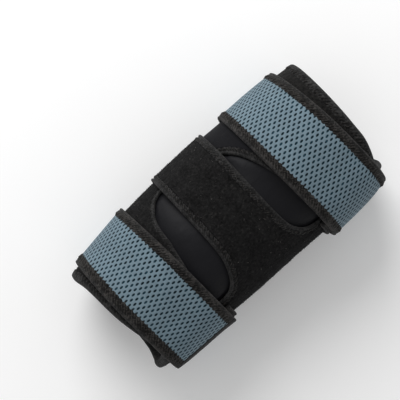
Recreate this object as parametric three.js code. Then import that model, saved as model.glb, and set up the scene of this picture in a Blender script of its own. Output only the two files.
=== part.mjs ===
// Wrap-around elbow brace, closed as it is worn and lying on its back on a flat surface.
// Millimetres. +X runs from the forearm end to the upper-arm end, +Z is up and is the side that
// shows, and the centre of the outline's underside is the origin.
// Every layer is laid on one arm-shaped form: an angle of 0 is the +Y side, 90 the front,
// 180 the -Y side and 270 the back, and a lift is the height above that form.
import * as THREE from "three";

// The space for the arm
const BRACE_LENGTH = 206.6;
const ARM_WIDTH = 89;
const ARM_DEPTH = 76;
const BACK_SQUARENESS = 3.2; // 2 is a round back, more is a flatter one

// Cloth walls and the room between two layers
const SLEEVE_WALL = 2.7;
const WING_WALL = 2;
const PANEL_WALL = 2;
const STRAP_WALL = 2.5;
const BINDING_WALL = 3;
const CLEARANCE = 0.35; // between pieces side by side
const LAYER_GAP = 0.5; // between one layer and the next
const PANEL_BRIDGING = 0.2; // the stiffer panel stands this much off the sleeve's swell
const REST_SQUASH = 0.25; // how much of the straps' thickness the surface below takes up

// Widths along the arm
const END_BINDING_WIDTH = 6.3;
const END_BINDING_LIP = 0.6; // how far the end binding reaches inside the sleeve
const STRAP_WIDTH = 50.6;
const STRAP_PINCH = 3.8; // how much narrower a strap is pulled over the +Y side
const STRAP_BINDING_WIDTH = 6.3;
const TONGUE_WIDTH = 44.4;
const TONGUE_CENTRE = 0.4;
const PANEL_EDGING_WIDTH = 5.2;
const LOWER_WING_EDGING_WIDTH = 3;
const UPPER_WING_EDGING_WIDTH = 5.2;
const EDGE_ROUNDING = 0.8; // chamfer on the outer corners of bindings and edgings

// Where the straps lie
const LOWER_STRAP_INSET = 8.1; // from the forearm end to the strap's edge, over the arm's front
const UPPER_STRAP_INSET = 14; // the same from the upper-arm end
const LOWER_STRAP_SLANT = 2.1; // half of what the strap's line leans over the arm's width
const UPPER_STRAP_SLANT = 3.2;
const TAIL_DRIFT = 3; // how far the tail lies nearer the elbow than the end over it

// How finely the layers follow the form, along the arm
const SLEEVE_COLUMNS = 8;
const PANEL_COLUMNS = 7;
const WING_COLUMNS = 4;
const STRAP_COLUMNS = 4;

// Angles in degrees
const STEP = 9;
const FULL_TURN = 360;
const BACK_SEAM = 226; // the panel meets the wings here, under the arm
const SEAM_GAP = 0.6;
const TONGUE_END = -100;
const TONGUE_TAB_END = -115;
const TONGUE_CLIMB = { low: 50, high: 80 }; // over the wings below, on the sleeve above
const LOWER_STRAP_END = 163;
const LOWER_STRAP_TAB_END = 187;
const UPPER_STRAP_END = 212;
const UPPER_STRAP_TAB_END = 229;
const TAIL_END = -210;
const TAIL_DRIFT_SPAN = { low: -170, high: -100 };
const OVERLAP_CLIMB = { low: 116, high: 146 }; // where a strap's end rises onto its tail

// The form's sections: place along the length from the middle, then shares of half the arm's
// width and depth, and the sideways shift as a share of the arm's width.
const SECTIONS = [
  { at: -0.5, width: 0.838, depth: 0.82, side: -0.002 },
  { at: -0.436, width: 0.882, depth: 0.865, side: -0.005 },
  { at: -0.34, width: 0.922, depth: 0.905, side: 0.004 },
  { at: -0.26, width: 0.948, depth: 0.94, side: 0.013 },
  { at: -0.185, width: 0.973, depth: 0.965, side: 0.0135 },
  { at: -0.06, width: 0.991, depth: 0.99, side: 0.013 },
  { at: 0.06, width: 0.994, depth: 1, side: 0.0125 },
  { at: 0.14, width: 0.995, depth: 1, side: 0.01 },
  { at: 0.2, width: 0.995, depth: 1, side: 0.006 },
  { at: 0.315, width: 0.985, depth: 0.995, side: 0.005 },
  { at: 0.382, width: 0.963, depth: 0.985, side: 0.006 },
  { at: 0.43, width: 0.932, depth: 0.965, side: 0.01 },
  { at: 0.47, width: 0.903, depth: 0.945, side: 0.018 },
  { at: 0.5, width: 0.89, depth: 0.935, side: 0.021 },
];

// How far each end of the wrap is cut back round the arm, as shares of the length
const END_CUTS = [
  { angle: 0, lower: 0, upper: 0.019 },
  { angle: 20, lower: 0.001, upper: 0.019 },
  { angle: 45, lower: 0.012, upper: 0.0195 },
  { angle: 90, lower: 0.023, upper: 0.021 },
  { angle: 105, lower: 0.0315, upper: 0.0225 },
  { angle: 123, lower: 0.043, upper: 0.0245 },
  { angle: 136, lower: 0.047, upper: 0.033 },
  { angle: 154, lower: 0.046, upper: 0.047 },
  { angle: 166, lower: 0.03, upper: 0.043 },
  { angle: 180, lower: 0.009, upper: 0.026 },
  { angle: 200, lower: 0.011, upper: 0.024 },
  { angle: 225, lower: 0.022, upper: 0.027 },
  { angle: 270, lower: 0.028, upper: 0.028 },
  { angle: 315, lower: 0.02, upper: 0.023 },
  { angle: 345, lower: 0.004, upper: 0.0195 },
  { angle: 360, lower: 0, upper: 0.019 },
];

// The four sides of the two leaf-shaped windows. A run of 0 is the tongue's edge and 1 the
// brace's end. A run below 0 is tucked under the tongue, whose middle is -1.
const LOWER_WING_EDGE = [
  { angle: 30, run: -0.965 },
  { angle: 30.4, run: -0.73 },
  { angle: 31.2, run: -0.33 },
  { angle: 32.7, run: 0.004 },
  { angle: 35.2, run: 0.07 },
  { angle: 39.4, run: 0.112 },
  { angle: 48, run: 0.168 },
  { angle: 57.5, run: 0.203 },
  { angle: 66.3, run: 0.214 },
  { angle: 74.4, run: 0.221 },
  { angle: 83.1, run: 0.238 },
  { angle: 97.9, run: 0.265 },
  { angle: 110, run: 0.3 },
  { angle: 124, run: 0.36 },
  { angle: 139, run: 0.48 },
];
const UPPER_WING_EDGE = [
  { angle: 38, run: -0.965 },
  { angle: 39, run: -0.73 },
  { angle: 42.5, run: -0.33 },
  { angle: 49.7, run: 0.01 },
  { angle: 57.9, run: 0.075 },
  { angle: 64.6, run: 0.113 },
  { angle: 71.7, run: 0.143 },
  { angle: 83.7, run: 0.186 },
  { angle: 102, run: 0.24 },
  { angle: 125, run: 0.34 },
  { angle: 146, run: 0.46 },
];
const LOWER_PANEL_EDGE = [
  { angle: 92, run: 0 },
  { angle: 102.8, run: 0.003 },
  { angle: 113.1, run: 0.015 },
  { angle: 121.6, run: 0.038 },
  { angle: 129.1, run: 0.066 },
  { angle: 135.5, run: 0.1 },
  { angle: 140.4, run: 0.145 },
  { angle: 142.2, run: 0.199 },
  { angle: 142.8, run: 0.26 },
  { angle: 143, run: 0.32 },
];
const UPPER_PANEL_EDGE = [
  { angle: 98, run: 0 },
  { angle: 113.6, run: 0.005 },
  { angle: 123.7, run: 0.014 },
  { angle: 131.1, run: 0.03 },
  { angle: 138.2, run: 0.062 },
  { angle: 143.3, run: 0.098 },
  { angle: 146.3, run: 0.139 },
  { angle: 147.4, run: 0.185 },
  { angle: 147.8, run: 0.26 },
];

// Values that follow from the sizes above
const HALF_LENGTH = BRACE_LENGTH / 2;
const TONGUE_LOW = TONGUE_CENTRE - TONGUE_WIDTH / 2;
const TONGUE_HIGH = TONGUE_CENTRE + TONGUE_WIDTH / 2;
const LOWER_STRAP_CENTRE = -HALF_LENGTH + LOWER_STRAP_INSET + STRAP_WIDTH / 2;
const UPPER_STRAP_CENTRE = HALF_LENGTH - UPPER_STRAP_INSET - STRAP_WIDTH / 2;
const WRAP_SEAT = SLEEVE_WALL + LAYER_GAP;
const WING_TOP = WRAP_SEAT + WING_WALL;
const TONGUE_SEAT = WING_TOP + LAYER_GAP;
const PANEL_SEAT = WRAP_SEAT + PANEL_BRIDGING;
const STRAP_SEAT = PANEL_SEAT + PANEL_WALL + LAYER_GAP;
const OVERLAP_RISE = BINDING_WALL + LAYER_GAP;
const FORM_FLOOR = STRAP_SEAT + STRAP_WALL - REST_SQUASH;
const MM_PER_DEGREE = (Math.PI * (ARM_WIDTH / 2 + SLEEVE_WALL)) / 180;
const SEAM_ANGLE = CLEARANCE / MM_PER_DEGREE;

const COLOURS = {
  sleeve: { color: 0x17171a, roughness: 0.62 },
  pile: { color: 0x131313, roughness: 0.95 },
  smooth: { color: 0x18181b, roughness: 0.7 },
  binding: { color: 0x1c1a18, roughness: 0.9 },
  mesh: { color: 0x7f98a8, roughness: 0.8 },
  hook: { color: 0x101010, roughness: 0.9 },
};

function smoothStep(low, high, value) {
  const t = THREE.MathUtils.clamp((value - low) / (high - low), 0, 1);
  return t * t * (3 - 2 * t);
}

// A smooth curve through one column of a table, by cubic pieces with averaged slopes
function readTable(rows, place, column, value) {
  const last = rows.length - 1;
  const t = THREE.MathUtils.clamp(value, rows[0][place], rows[last][place]);
  let i = 0;
  while (i < last - 1 && t > rows[i + 1][place]) i += 1;
  const slope = (a, b) => (rows[b][column] - rows[a][column]) / (rows[b][place] - rows[a][place]);
  const span = rows[i + 1][place] - rows[i][place];
  const startSlope = i > 0 ? (slope(i - 1, i) + slope(i, i + 1)) / 2 : slope(i, i + 1);
  const endSlope = i + 2 <= last ? (slope(i, i + 1) + slope(i + 1, i + 2)) / 2 : slope(i, i + 1);
  const u = (t - rows[i][place]) / span;
  const u2 = u * u;
  const u3 = u2 * u;
  return (
    (2 * u3 - 3 * u2 + 1) * rows[i][column] +
    (u3 - 2 * u2 + u) * span * startSlope +
    (3 * u2 - 2 * u3) * rows[i + 1][column] +
    (u3 - u2) * span * endSlope
  );
}

// The point at a place along the arm, an angle round it and a lift above the form.
// What would come below the resting surface is pressed flat on it.
function formPoint(x, angle, lift) {
  const at = x / BRACE_LENGTH;
  const halfWidth = (ARM_WIDTH / 2) * readTable(SECTIONS, "at", "width", at);
  const halfDepth = (ARM_DEPTH / 2) * readTable(SECTIONS, "at", "depth", at);
  const side = ARM_WIDTH * readTable(SECTIONS, "at", "side", at);
  const turn = THREE.MathUtils.degToRad(angle);
  const across = Math.cos(turn);
  const power = Math.sin(turn) >= 0 ? 2 : BACK_SQUARENESS;
  const reach = Math.sqrt(Math.max(0, 1 - Math.abs(across) ** power));
  const up = Math.sin(turn) >= 0 ? reach : -reach;
  const normal = new THREE.Vector2(
    ((power / 2) * Math.sign(across) * Math.abs(across) ** (power - 1)) / halfWidth,
    up / halfDepth,
  ).normalize();
  const y = side + halfWidth * across + lift * normal.x;
  const z = FORM_FLOOR + halfDepth * (1 + up) + lift * normal.y;
  return new THREE.Vector3(x, y, Math.max(z, 0));
}

function endCut(angle, column) {
  const wrapped = THREE.MathUtils.euclideanModulo(angle, FULL_TURN);
  return BRACE_LENGTH * readTable(END_CUTS, "angle", column, wrapped);
}
const lowerEnd = (angle) => -HALF_LENGTH + endCut(angle, "lower");
const upperEnd = (angle) => HALF_LENGTH - endCut(angle, "upper");
const insideLowerEnd = (angle) => lowerEnd(angle) + END_BINDING_WIDTH + CLEARANCE;
const insideUpperEnd = (angle) => upperEnd(angle) - END_BINDING_WIDTH - CLEARANCE;

// A closed solid through loops of as many points each: joined end to end, or capped
function loft(loops, joined) {
  const size = loops[0].length;
  const positions = loops.flat().flatMap((point) => point.toArray());
  const faces = [];
  const quad = (a, b, c, d) => faces.push(a, b, c, a, c, d);
  const spans = joined ? loops.length : loops.length - 1;
  for (let i = 0; i < spans; i += 1) {
    const here = i * size;
    const next = ((i + 1) % loops.length) * size;
    for (let j = 0; j < size; j += 1) {
      const k = (j + 1) % size;
      quad(here + j, next + j, next + k, here + k);
    }
  }
  if (!joined) {
    const last = (loops.length - 1) * size;
    for (let j = 0; j < size / 2 - 1; j += 1) {
      quad(j, j + 1, size - 2 - j, size - 1 - j);
      quad(last + size - 1 - j, last + size - 2 - j, last + j + 1, last + j);
    }
  }
  const geometry = new THREE.BufferGeometry();
  geometry.setAttribute("position", new THREE.Float32BufferAttribute(positions, 3));
  geometry.setIndex(faces);
  if (enclosedVolume(geometry) < 0) geometry.setIndex(faces.reverse());
  geometry.computeVertexNormals();
  return geometry;
}

function enclosedVolume(geometry) {
  const corners = geometry.getAttribute("position");
  const order = geometry.getIndex();
  const [a, b, c] = [new THREE.Vector3(), new THREE.Vector3(), new THREE.Vector3()];
  let volume = 0;
  for (let i = 0; i < order.count; i += 3) {
    a.fromBufferAttribute(corners, order.getX(i));
    b.fromBufferAttribute(corners, order.getX(i + 1));
    c.fromBufferAttribute(corners, order.getX(i + 2));
    volume += a.dot(b.cross(c)) / 6;
  }
  return volume;
}

// Angles from one to another: both ends, the whole steps between, and any others asked for
// that aren't almost on one of those
function angleSteps(from, to, others = []) {
  const steps = [from, to];
  const add = (angle) => {
    if (steps.every((a) => Math.abs(a - angle) > STEP / 36)) steps.push(angle);
  };
  for (let a = Math.ceil(from / STEP) * STEP; a < to; a += STEP) add(a);
  others.filter((a) => a > from && a < to).forEach(add);
  return steps.sort((a, b) => a - b);
}

function ringSteps() {
  return angleSteps(0, FULL_TURN).slice(0, -1);
}

// The outline of a flat sheet's cut across the arm's turn, in a number of columns
function sheetLoop(angle, low, high, inner, outer, columns) {
  const loop = [];
  for (let j = 0; j <= columns; j += 1) {
    loop.push(formPoint(THREE.MathUtils.lerp(low, high, j / columns), angle, outer));
  }
  for (let j = columns; j >= 0; j -= 1) {
    loop.push(formPoint(THREE.MathUtils.lerp(low, high, j / columns), angle, inner));
  }
  return loop;
}

// The outline of a binding or edging: a bar whose outer corners are taken off
function barLoop(start, finish, inner, outer) {
  const between = (share, lift) =>
    formPoint(
      THREE.MathUtils.lerp(start.x, finish.x, share),
      THREE.MathUtils.lerp(start.angle, finish.angle, share),
      lift,
    );
  const width = Math.hypot(finish.x - start.x, (finish.angle - start.angle) * MM_PER_DEGREE);
  const corner = Math.min(EDGE_ROUNDING, width / 3, (outer - inner) / 2);
  const share = corner / width;
  return [
    between(0, inner),
    between(0, outer - corner),
    between(share, outer),
    between(1 - share, outer),
    between(1, outer - corner),
    between(1, inner),
  ];
}

function straightBar(angle, low, high, inner, outer) {
  return barLoop({ x: low, angle }, { x: high, angle }, inner, outer);
}

// A window's side as points with equal spacing, from its table
function edgeLine(rows, tongueEdge, end, before = []) {
  const place = (run) => {
    const goal = run < 0 ? TONGUE_CENTRE : end;
    return THREE.MathUtils.lerp(tongueEdge, goal, Math.abs(run));
  };
  const points = [...before.map((angle) => ({ angle, run: 0 })), ...rows].map(
    ({ angle, run }) => new THREE.Vector2(place(run), angle * MM_PER_DEGREE),
  );
  const curve = new THREE.SplineCurve(points);
  const count = Math.ceil(curve.getLength() / (STEP * MM_PER_DEGREE * 0.75));
  return curve.getSpacedPoints(count);
}

// The line moved sideways over the cloth; side is 1 for left of its way and -1 for right
function moveLine(line, distance, side) {
  return line.map((point, i) => {
    const before = line[Math.max(i - 1, 0)];
    const after = line[Math.min(i + 1, line.length - 1)];
    const way = after.clone().sub(before).normalize();
    return new THREE.Vector2(point.x - side * way.y * distance, point.y + side * way.x * distance);
  });
}

const onCloth = (point) => ({ x: point.x, angle: point.y / MM_PER_DEGREE });

function lineAt(line, angle) {
  const points = line.map(onCloth);
  if (angle <= points[0].angle) return points[0].x;
  for (let i = 1; i < points.length; i += 1) {
    const a = points[i - 1];
    const b = points[i];
    if (angle <= b.angle) {
      return THREE.MathUtils.mapLinear(angle, a.angle, b.angle, a.x, b.x);
    }
  }
  return points[points.length - 1].x;
}

// The angles a sheet's steps need along such a side: its end, and where it runs more along the
// arm than round it
function steepAngles(line) {
  const steep = line.filter((point, i) => {
    const before = line[Math.max(i - 1, 0)];
    return i === line.length - 1 || Math.abs(point.x - before.x) > Math.abs(point.y - before.y) * 0.35;
  });
  return steep.map((point) => onCloth(point).angle);
}

function edging(line, width, side, inner, outer) {
  const far = moveLine(line, width, side);
  return loft(
    line.map((point, i) => {
      const { angle } = onCloth(point);
      return barLoop(onCloth(point), onCloth(far[i]), inner(angle), outer(angle));
    }),
    false,
  );
}

const brace = new THREE.Group();
brace.name = "elbow_brace";

function addPiece(name, geometry, finish) {
  const material = new THREE.MeshStandardMaterial({ ...COLOURS[finish], metalness: 0 });
  const mesh = new THREE.Mesh(geometry, material);
  mesh.name = name;
  brace.add(mesh);
}

function addSleeve() {
  const loops = ringSteps().map((angle) =>
    sheetLoop(
      angle,
      insideLowerEnd(angle),
      insideUpperEnd(angle),
      0,
      SLEEVE_WALL,
      SLEEVE_COLUMNS,
    ),
  );
  addPiece("sleeve", loft(loops, true), "sleeve");
}

function addEndBindings() {
  const lower = ringSteps().map((angle) => {
    const end = lowerEnd(angle);
    return straightBar(angle, end, end + END_BINDING_WIDTH, -END_BINDING_LIP, WING_TOP);
  });
  const upper = ringSteps().map((angle) => {
    const end = upperEnd(angle);
    return straightBar(angle, end - END_BINDING_WIDTH, end, -END_BINDING_LIP, WING_TOP);
  });
  addPiece("lower_end_binding", loft(lower, true), "binding");
  addPiece("upper_end_binding", loft(upper, true), "binding");
}

// The two wings lie on the sleeve from the back seam over the +Y side to the panel
function addWings(lowerSeam, upperSeam) {
  const start = BACK_SEAM - FULL_TURN + SEAM_GAP;
  const inner = () => WRAP_SEAT;
  const outer = () => WING_TOP;

  const lowerLine = edgeLine(LOWER_WING_EDGE, TONGUE_LOW, -HALF_LENGTH);
  const lowerSheet = moveLine(lowerLine, LOWER_WING_EDGING_WIDTH + CLEARANCE, 1);
  const lowerAngles = angleSteps(start, lowerSeam - SEAM_GAP, steepAngles(lowerSheet));
  const lowerLoops = lowerAngles.map((angle) => {
    const edge = lineAt(lowerSheet, angle);
    return sheetLoop(angle, insideLowerEnd(angle), edge, WRAP_SEAT, WING_TOP, WING_COLUMNS);
  });
  addPiece("lower_wing", loft(lowerLoops, false), "pile");
  addPiece(
    "lower_wing_edging",
    edging(lowerLine, LOWER_WING_EDGING_WIDTH, 1, inner, outer),
    "binding",
  );

  const upperLine = edgeLine(UPPER_WING_EDGE, TONGUE_HIGH, HALF_LENGTH);
  const upperSheet = moveLine(upperLine, UPPER_WING_EDGING_WIDTH + CLEARANCE, -1);
  const upperAngles = angleSteps(start, upperSeam - SEAM_GAP, steepAngles(upperSheet));
  const upperLoops = upperAngles.map((angle) => {
    const edge = lineAt(upperSheet, angle);
    return sheetLoop(angle, edge, insideUpperEnd(angle), WRAP_SEAT, WING_TOP, WING_COLUMNS);
  });
  addPiece("upper_wing", loft(upperLoops, false), "smooth");
  addPiece(
    "upper_wing_edging",
    edging(upperLine, UPPER_WING_EDGING_WIDTH, -1, inner, outer),
    "binding",
  );
}

// The front panel with its tongue, which climbs over the wings and ends under the arm.
// Returns the angles where the panel reaches the brace's two ends.
function addPanel() {
  const climb = (angle) => 1 - smoothStep(TONGUE_CLIMB.low, TONGUE_CLIMB.high, angle);
  const inner = (angle) => THREE.MathUtils.lerp(PANEL_SEAT, TONGUE_SEAT, climb(angle));
  const outer = (angle) => inner(angle) + PANEL_WALL;
  const straight = [TONGUE_END, TONGUE_END / 2, 0, TONGUE_CLIMB.low];

  const lowerLine = edgeLine(LOWER_PANEL_EDGE, TONGUE_LOW, -HALF_LENGTH, straight);
  const upperLine = edgeLine(UPPER_PANEL_EDGE, TONGUE_HIGH, HALF_LENGTH, straight);
  const lowerSheet = moveLine(lowerLine, PANEL_EDGING_WIDTH + CLEARANCE, -1);
  const upperSheet = moveLine(upperLine, PANEL_EDGING_WIDTH + CLEARANCE, 1);
  const lowerSeam = onCloth(lowerSheet[lowerSheet.length - 1]).angle + SEAM_GAP;
  const upperSeam = onCloth(upperSheet[upperSheet.length - 1]).angle + SEAM_GAP;

  const windows = [...steepAngles(lowerSheet), ...steepAngles(upperSheet)];
  const widen = (angle, seam, edge, end) =>
    THREE.MathUtils.lerp(edge, end, smoothStep(seam - SEAM_GAP, seam + SEAM_GAP, angle));
  const loops = panelAngles(windows, [lowerSeam, upperSeam]).map((angle) => {
    const low = widen(angle, lowerSeam, lineAt(lowerSheet, angle), insideLowerEnd(angle));
    const high = widen(angle, upperSeam, lineAt(upperSheet, angle), insideUpperEnd(angle));
    return sheetLoop(angle, low, high, inner(angle), outer(angle), PANEL_COLUMNS);
  });
  addPiece("front_panel", loft(loops, false), "pile");
  addPiece(
    "lower_panel_edging",
    edging(lowerLine, PANEL_EDGING_WIDTH, -1, inner, outer),
    "binding",
  );
  addPiece("upper_panel_edging", edging(upperLine, PANEL_EDGING_WIDTH, 1, inner, outer), "binding");

  const tab = angleSteps(TONGUE_TAB_END, TONGUE_END - SEAM_ANGLE).map((angle) =>
    sheetLoop(angle, TONGUE_LOW, TONGUE_HIGH, inner(angle), outer(angle), 2),
  );
  addPiece("tongue_end", loft(tab, false), "hook");
  return { lowerSeam, upperSeam };
}

// At each seam the panel widens to the brace's end within a few close steps
function panelAngles(windows, seams) {
  const clear = (angle) => seams.every((seam) => Math.abs(angle - seam) > SEAM_GAP);
  const plain = angleSteps(TONGUE_END, BACK_SEAM - SEAM_GAP, windows).filter(clear);
  const close = seams.flatMap((seam) => [-1, -0.3, 0.3, 1].map((share) => seam + share * SEAM_GAP));
  return [...plain, ...close].sort((a, b) => a - b);
}

// A strap starts at its end on the -Y side, goes over the front and round the back, and its
// tail comes up under its end.
function addStrap({ name, centre, slant, drift, end, tabEnd }) {
  const lineAtAngle = (angle) => {
    const tail = 1 - smoothStep(TAIL_DRIFT_SPAN.low, TAIL_DRIFT_SPAN.high, angle);
    return centre - slant * Math.cos(THREE.MathUtils.degToRad(angle)) + drift * tail;
  };
  const halfAtAngle = (angle) => {
    const towardPlusY = Math.max(0, Math.cos(THREE.MathUtils.degToRad(angle)));
    return (STRAP_WIDTH - STRAP_PINCH * towardPlusY ** 1.5) / 2;
  };
  const seat = (angle) =>
    STRAP_SEAT + OVERLAP_RISE * smoothStep(OVERLAP_CLIMB.low, OVERLAP_CLIMB.high, angle);
  // A cut across the strap between two distances from its edges, 0 being the forearm-side edge
  const cut = (angle, fromLow, fromHigh) => [
    lineAtAngle(angle) - halfAtAngle(angle) + fromLow,
    lineAtAngle(angle) + halfAtAngle(angle) - fromHigh,
  ];
  const steps = angleSteps(TAIL_END, end);
  const inset = STRAP_BINDING_WIDTH + CLEARANCE;
  const cloth = steps.map((angle) => {
    const [low, high] = cut(angle, inset, inset);
    return sheetLoop(angle, low, high, seat(angle), seat(angle) + STRAP_WALL, STRAP_COLUMNS);
  });
  const forearmBinding = steps.map((angle) => {
    const [low] = cut(angle, 0, 0);
    const high = low + STRAP_BINDING_WIDTH;
    return straightBar(angle, low, high, seat(angle), seat(angle) + BINDING_WALL);
  });
  const shoulderBinding = steps.map((angle) => {
    const [, high] = cut(angle, 0, 0);
    const low = high - STRAP_BINDING_WIDTH;
    return straightBar(angle, low, high, seat(angle), seat(angle) + BINDING_WALL);
  });
  addPiece(`${name}_strap`, loft(cloth, false), "mesh");
  addPiece(`${name}_strap_forearm_binding`, loft(forearmBinding, false), "binding");
  addPiece(`${name}_strap_shoulder_binding`, loft(shoulderBinding, false), "binding");
  const tab = angleSteps(end + SEAM_ANGLE, tabEnd).map((angle) => {
    const [low, high] = cut(angle, 0, 0);
    return sheetLoop(angle, low, high, seat(angle), seat(angle) + STRAP_WALL, STRAP_COLUMNS);
  });
  addPiece(`${name}_strap_end`, loft(tab, false), "hook");
}

addSleeve();
addEndBindings();
const seams = addPanel();
addWings(seams.lowerSeam, seams.upperSeam);
addStrap({
  name: "lower",
  centre: LOWER_STRAP_CENTRE,
  slant: LOWER_STRAP_SLANT,
  drift: TAIL_DRIFT,
  end: LOWER_STRAP_END,
  tabEnd: LOWER_STRAP_TAB_END,
});
addStrap({
  name: "upper",
  centre: UPPER_STRAP_CENTRE,
  slant: UPPER_STRAP_SLANT,
  drift: -TAIL_DRIFT,
  end: UPPER_STRAP_END,
  tabEnd: UPPER_STRAP_TAB_END,
});

// The origin is under the middle of the whole outline
const outline = new THREE.Box3().setFromObject(brace);
const middle = outline.getCenter(new THREE.Vector3());
brace.position.set(-middle.x, -middle.y, -outline.min.z);

export default brace;
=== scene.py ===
"""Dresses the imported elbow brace: a cloth sleeve with pile panels, bound ends and mesh straps.

The cloth lies on a form whose length runs along X. An angle goes round the form, from 0 at its
+Y side to 90 on top, and a lift is a height above it. Sizes in the tables are millimetres and
degrees, as in the part's source. Blender works in metres.
"""

import math

import bpy
import numpy as np
from mathutils import Matrix, Vector, noise


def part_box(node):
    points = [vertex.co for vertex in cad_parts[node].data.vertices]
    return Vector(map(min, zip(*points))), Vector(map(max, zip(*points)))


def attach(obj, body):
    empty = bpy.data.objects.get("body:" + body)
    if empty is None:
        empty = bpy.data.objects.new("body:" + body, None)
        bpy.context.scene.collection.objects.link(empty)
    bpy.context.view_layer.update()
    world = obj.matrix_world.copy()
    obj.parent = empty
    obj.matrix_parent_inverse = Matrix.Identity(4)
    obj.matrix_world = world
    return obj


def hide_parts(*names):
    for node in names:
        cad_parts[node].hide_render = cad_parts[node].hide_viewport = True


bl_info = {
    "name": "Elbow Brace",
    "version": (1, 0, 0),
    "blender": (4, 5, 0),
    "location": "3D View > Sidebar > Brace",
    "description": "Makes the cloth, straps, bindings and stitching of an elbow brace",
    "category": "Add Mesh",
}

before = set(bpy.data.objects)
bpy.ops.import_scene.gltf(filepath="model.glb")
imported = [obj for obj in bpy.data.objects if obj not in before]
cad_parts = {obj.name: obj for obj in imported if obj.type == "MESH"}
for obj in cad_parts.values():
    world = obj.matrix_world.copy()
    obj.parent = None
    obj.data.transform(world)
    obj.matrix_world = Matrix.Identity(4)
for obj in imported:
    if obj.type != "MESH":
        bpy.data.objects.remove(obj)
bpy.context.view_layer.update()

MM = 0.001
FULL_TURN = 360.0

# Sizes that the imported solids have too
BRACE_LENGTH = 206.6
FORM_WIDTH = 89.0
FORM_DEPTH = 76.0
BACK_SQUARENESS = 3.2
SLEEVE_WALL = 2.7
WING_WALL = 2.0
PANEL_WALL = 2.0
STRAP_WALL = 2.5
BINDING_WALL = 3.0
CLEARANCE = 0.35
LAYER_GAP = 0.5
PANEL_BRIDGING = 0.2
REST_SQUASH = 0.25
END_BINDING_WIDTH = 6.3
END_BINDING_LIP = 0.6
STRAP_WIDTH = 50.6
STRAP_PINCH = 3.8
TONGUE_WIDTH = 44.4
TONGUE_CENTRE = 0.4
PANEL_EDGING_WIDTH = 5.2
LOWER_WING_EDGING_WIDTH = 3.0
UPPER_WING_EDGING_WIDTH = 5.2
TAIL_DRIFT = 3.0
BACK_SEAM = 226.0
SEAM_GAP = 0.6
TONGUE_END = -100.0
TONGUE_TAB_END = -115.0
TONGUE_CLIMB = (50.0, 80.0)
TAIL_END = -210.0
TAIL_DRIFT_SPAN = (-170.0, -100.0)
OVERLAP_CLIMB = (116.0, 146.0)

# Sizes of the dressed pieces alone
LOWER_STRAP_INSET = 8.5
UPPER_STRAP_INSET = 13.3
TUCK = 0.7  # how far a sheet reaches under the binding or edging beside it
MESH_SINK = 0.03  # how far the mesh cloth sinks into its backing
END_SEAM = 4.5  # from a tape's outer edge to its seam
STRAP_SEAM = 4.6
EDGING_SEAM = 3.7
TAPE_THREAD_LIFT = 0.16  # from a tape's top to the middle of its threads
EDGING_THREAD_LIFT = 0.2
TAB_ROUNDING = (5.0, 7.0)  # how much a grip tab narrows at its end, and over what length
WIDE_EDGING = 4.0  # wider edgings have a roll on both sides and a seam
END_TAPE_WIDTH = 6.4  # a little over its solid's
WING_WAVES = 0.25  # how far the smooth wing's surface rises and falls
WING_STEPS = 230

# The form: place along its length, shares of half width and half depth, sideways shift
SECTIONS = [
    (-0.5, 0.838, 0.82, -0.002), (-0.436, 0.882, 0.865, -0.005), (-0.34, 0.922, 0.905, 0.004),
    (-0.26, 0.948, 0.94, 0.013), (-0.185, 0.973, 0.965, 0.0135), (-0.06, 0.991, 0.99, 0.013),
    (0.06, 0.994, 1.0, 0.0125), (0.14, 0.995, 1.0, 0.01), (0.2, 0.995, 1.0, 0.006),
    (0.315, 0.985, 0.995, 0.005), (0.382, 0.963, 0.985, 0.006), (0.43, 0.932, 0.965, 0.01),
    (0.47, 0.903, 0.945, 0.018), (0.5, 0.89, 0.935, 0.021),
]

# How far each end is cut back: angle, lower share, upper share of the length
END_CUTS = [
    (0, 0.0, 0.019), (20, 0.001, 0.019), (45, 0.012, 0.0195), (90, 0.023, 0.021),
    (105, 0.0315, 0.0225), (123, 0.043, 0.0245), (136, 0.047, 0.033), (154, 0.046, 0.047),
    (166, 0.03, 0.043), (180, 0.009, 0.026), (200, 0.011, 0.024), (225, 0.022, 0.027),
    (270, 0.028, 0.028), (315, 0.02, 0.023), (345, 0.004, 0.0195), (360, 0.0, 0.019),
]

# The sides of the two leaf-shaped windows: angle and run from the tongue's edge
LOWER_WING_EDGE = [
    (30, -0.965), (30.4, -0.73), (31.2, -0.33), (32.7, 0.004), (35.2, 0.07),
    (39.4, 0.112), (48, 0.168), (57.5, 0.203), (66.3, 0.214), (74.4, 0.221),
    (83.1, 0.238), (97.9, 0.265), (110, 0.3), (124, 0.36), (139, 0.48),
]
UPPER_WING_EDGE = [
    (38, -0.965), (39, -0.73), (42.5, -0.33), (49.7, 0.01), (57.9, 0.075),
    (64.6, 0.113), (71.7, 0.143), (83.7, 0.186), (102, 0.24), (125, 0.34),
    (146, 0.46),
]
LOWER_PANEL_EDGE = [
    (92, 0), (102.8, 0.003), (113.1, 0.015), (121.6, 0.038), (129.1, 0.066),
    (135.5, 0.1), (140.4, 0.145), (142.2, 0.199), (142.8, 0.26), (143, 0.32),
]
UPPER_PANEL_EDGE = [
    (98, 0), (113.6, 0.005), (123.7, 0.014), (131.1, 0.03), (138.2, 0.062),
    (143.3, 0.098), (146.3, 0.139), (147.4, 0.185), (147.8, 0.26),
]

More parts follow.
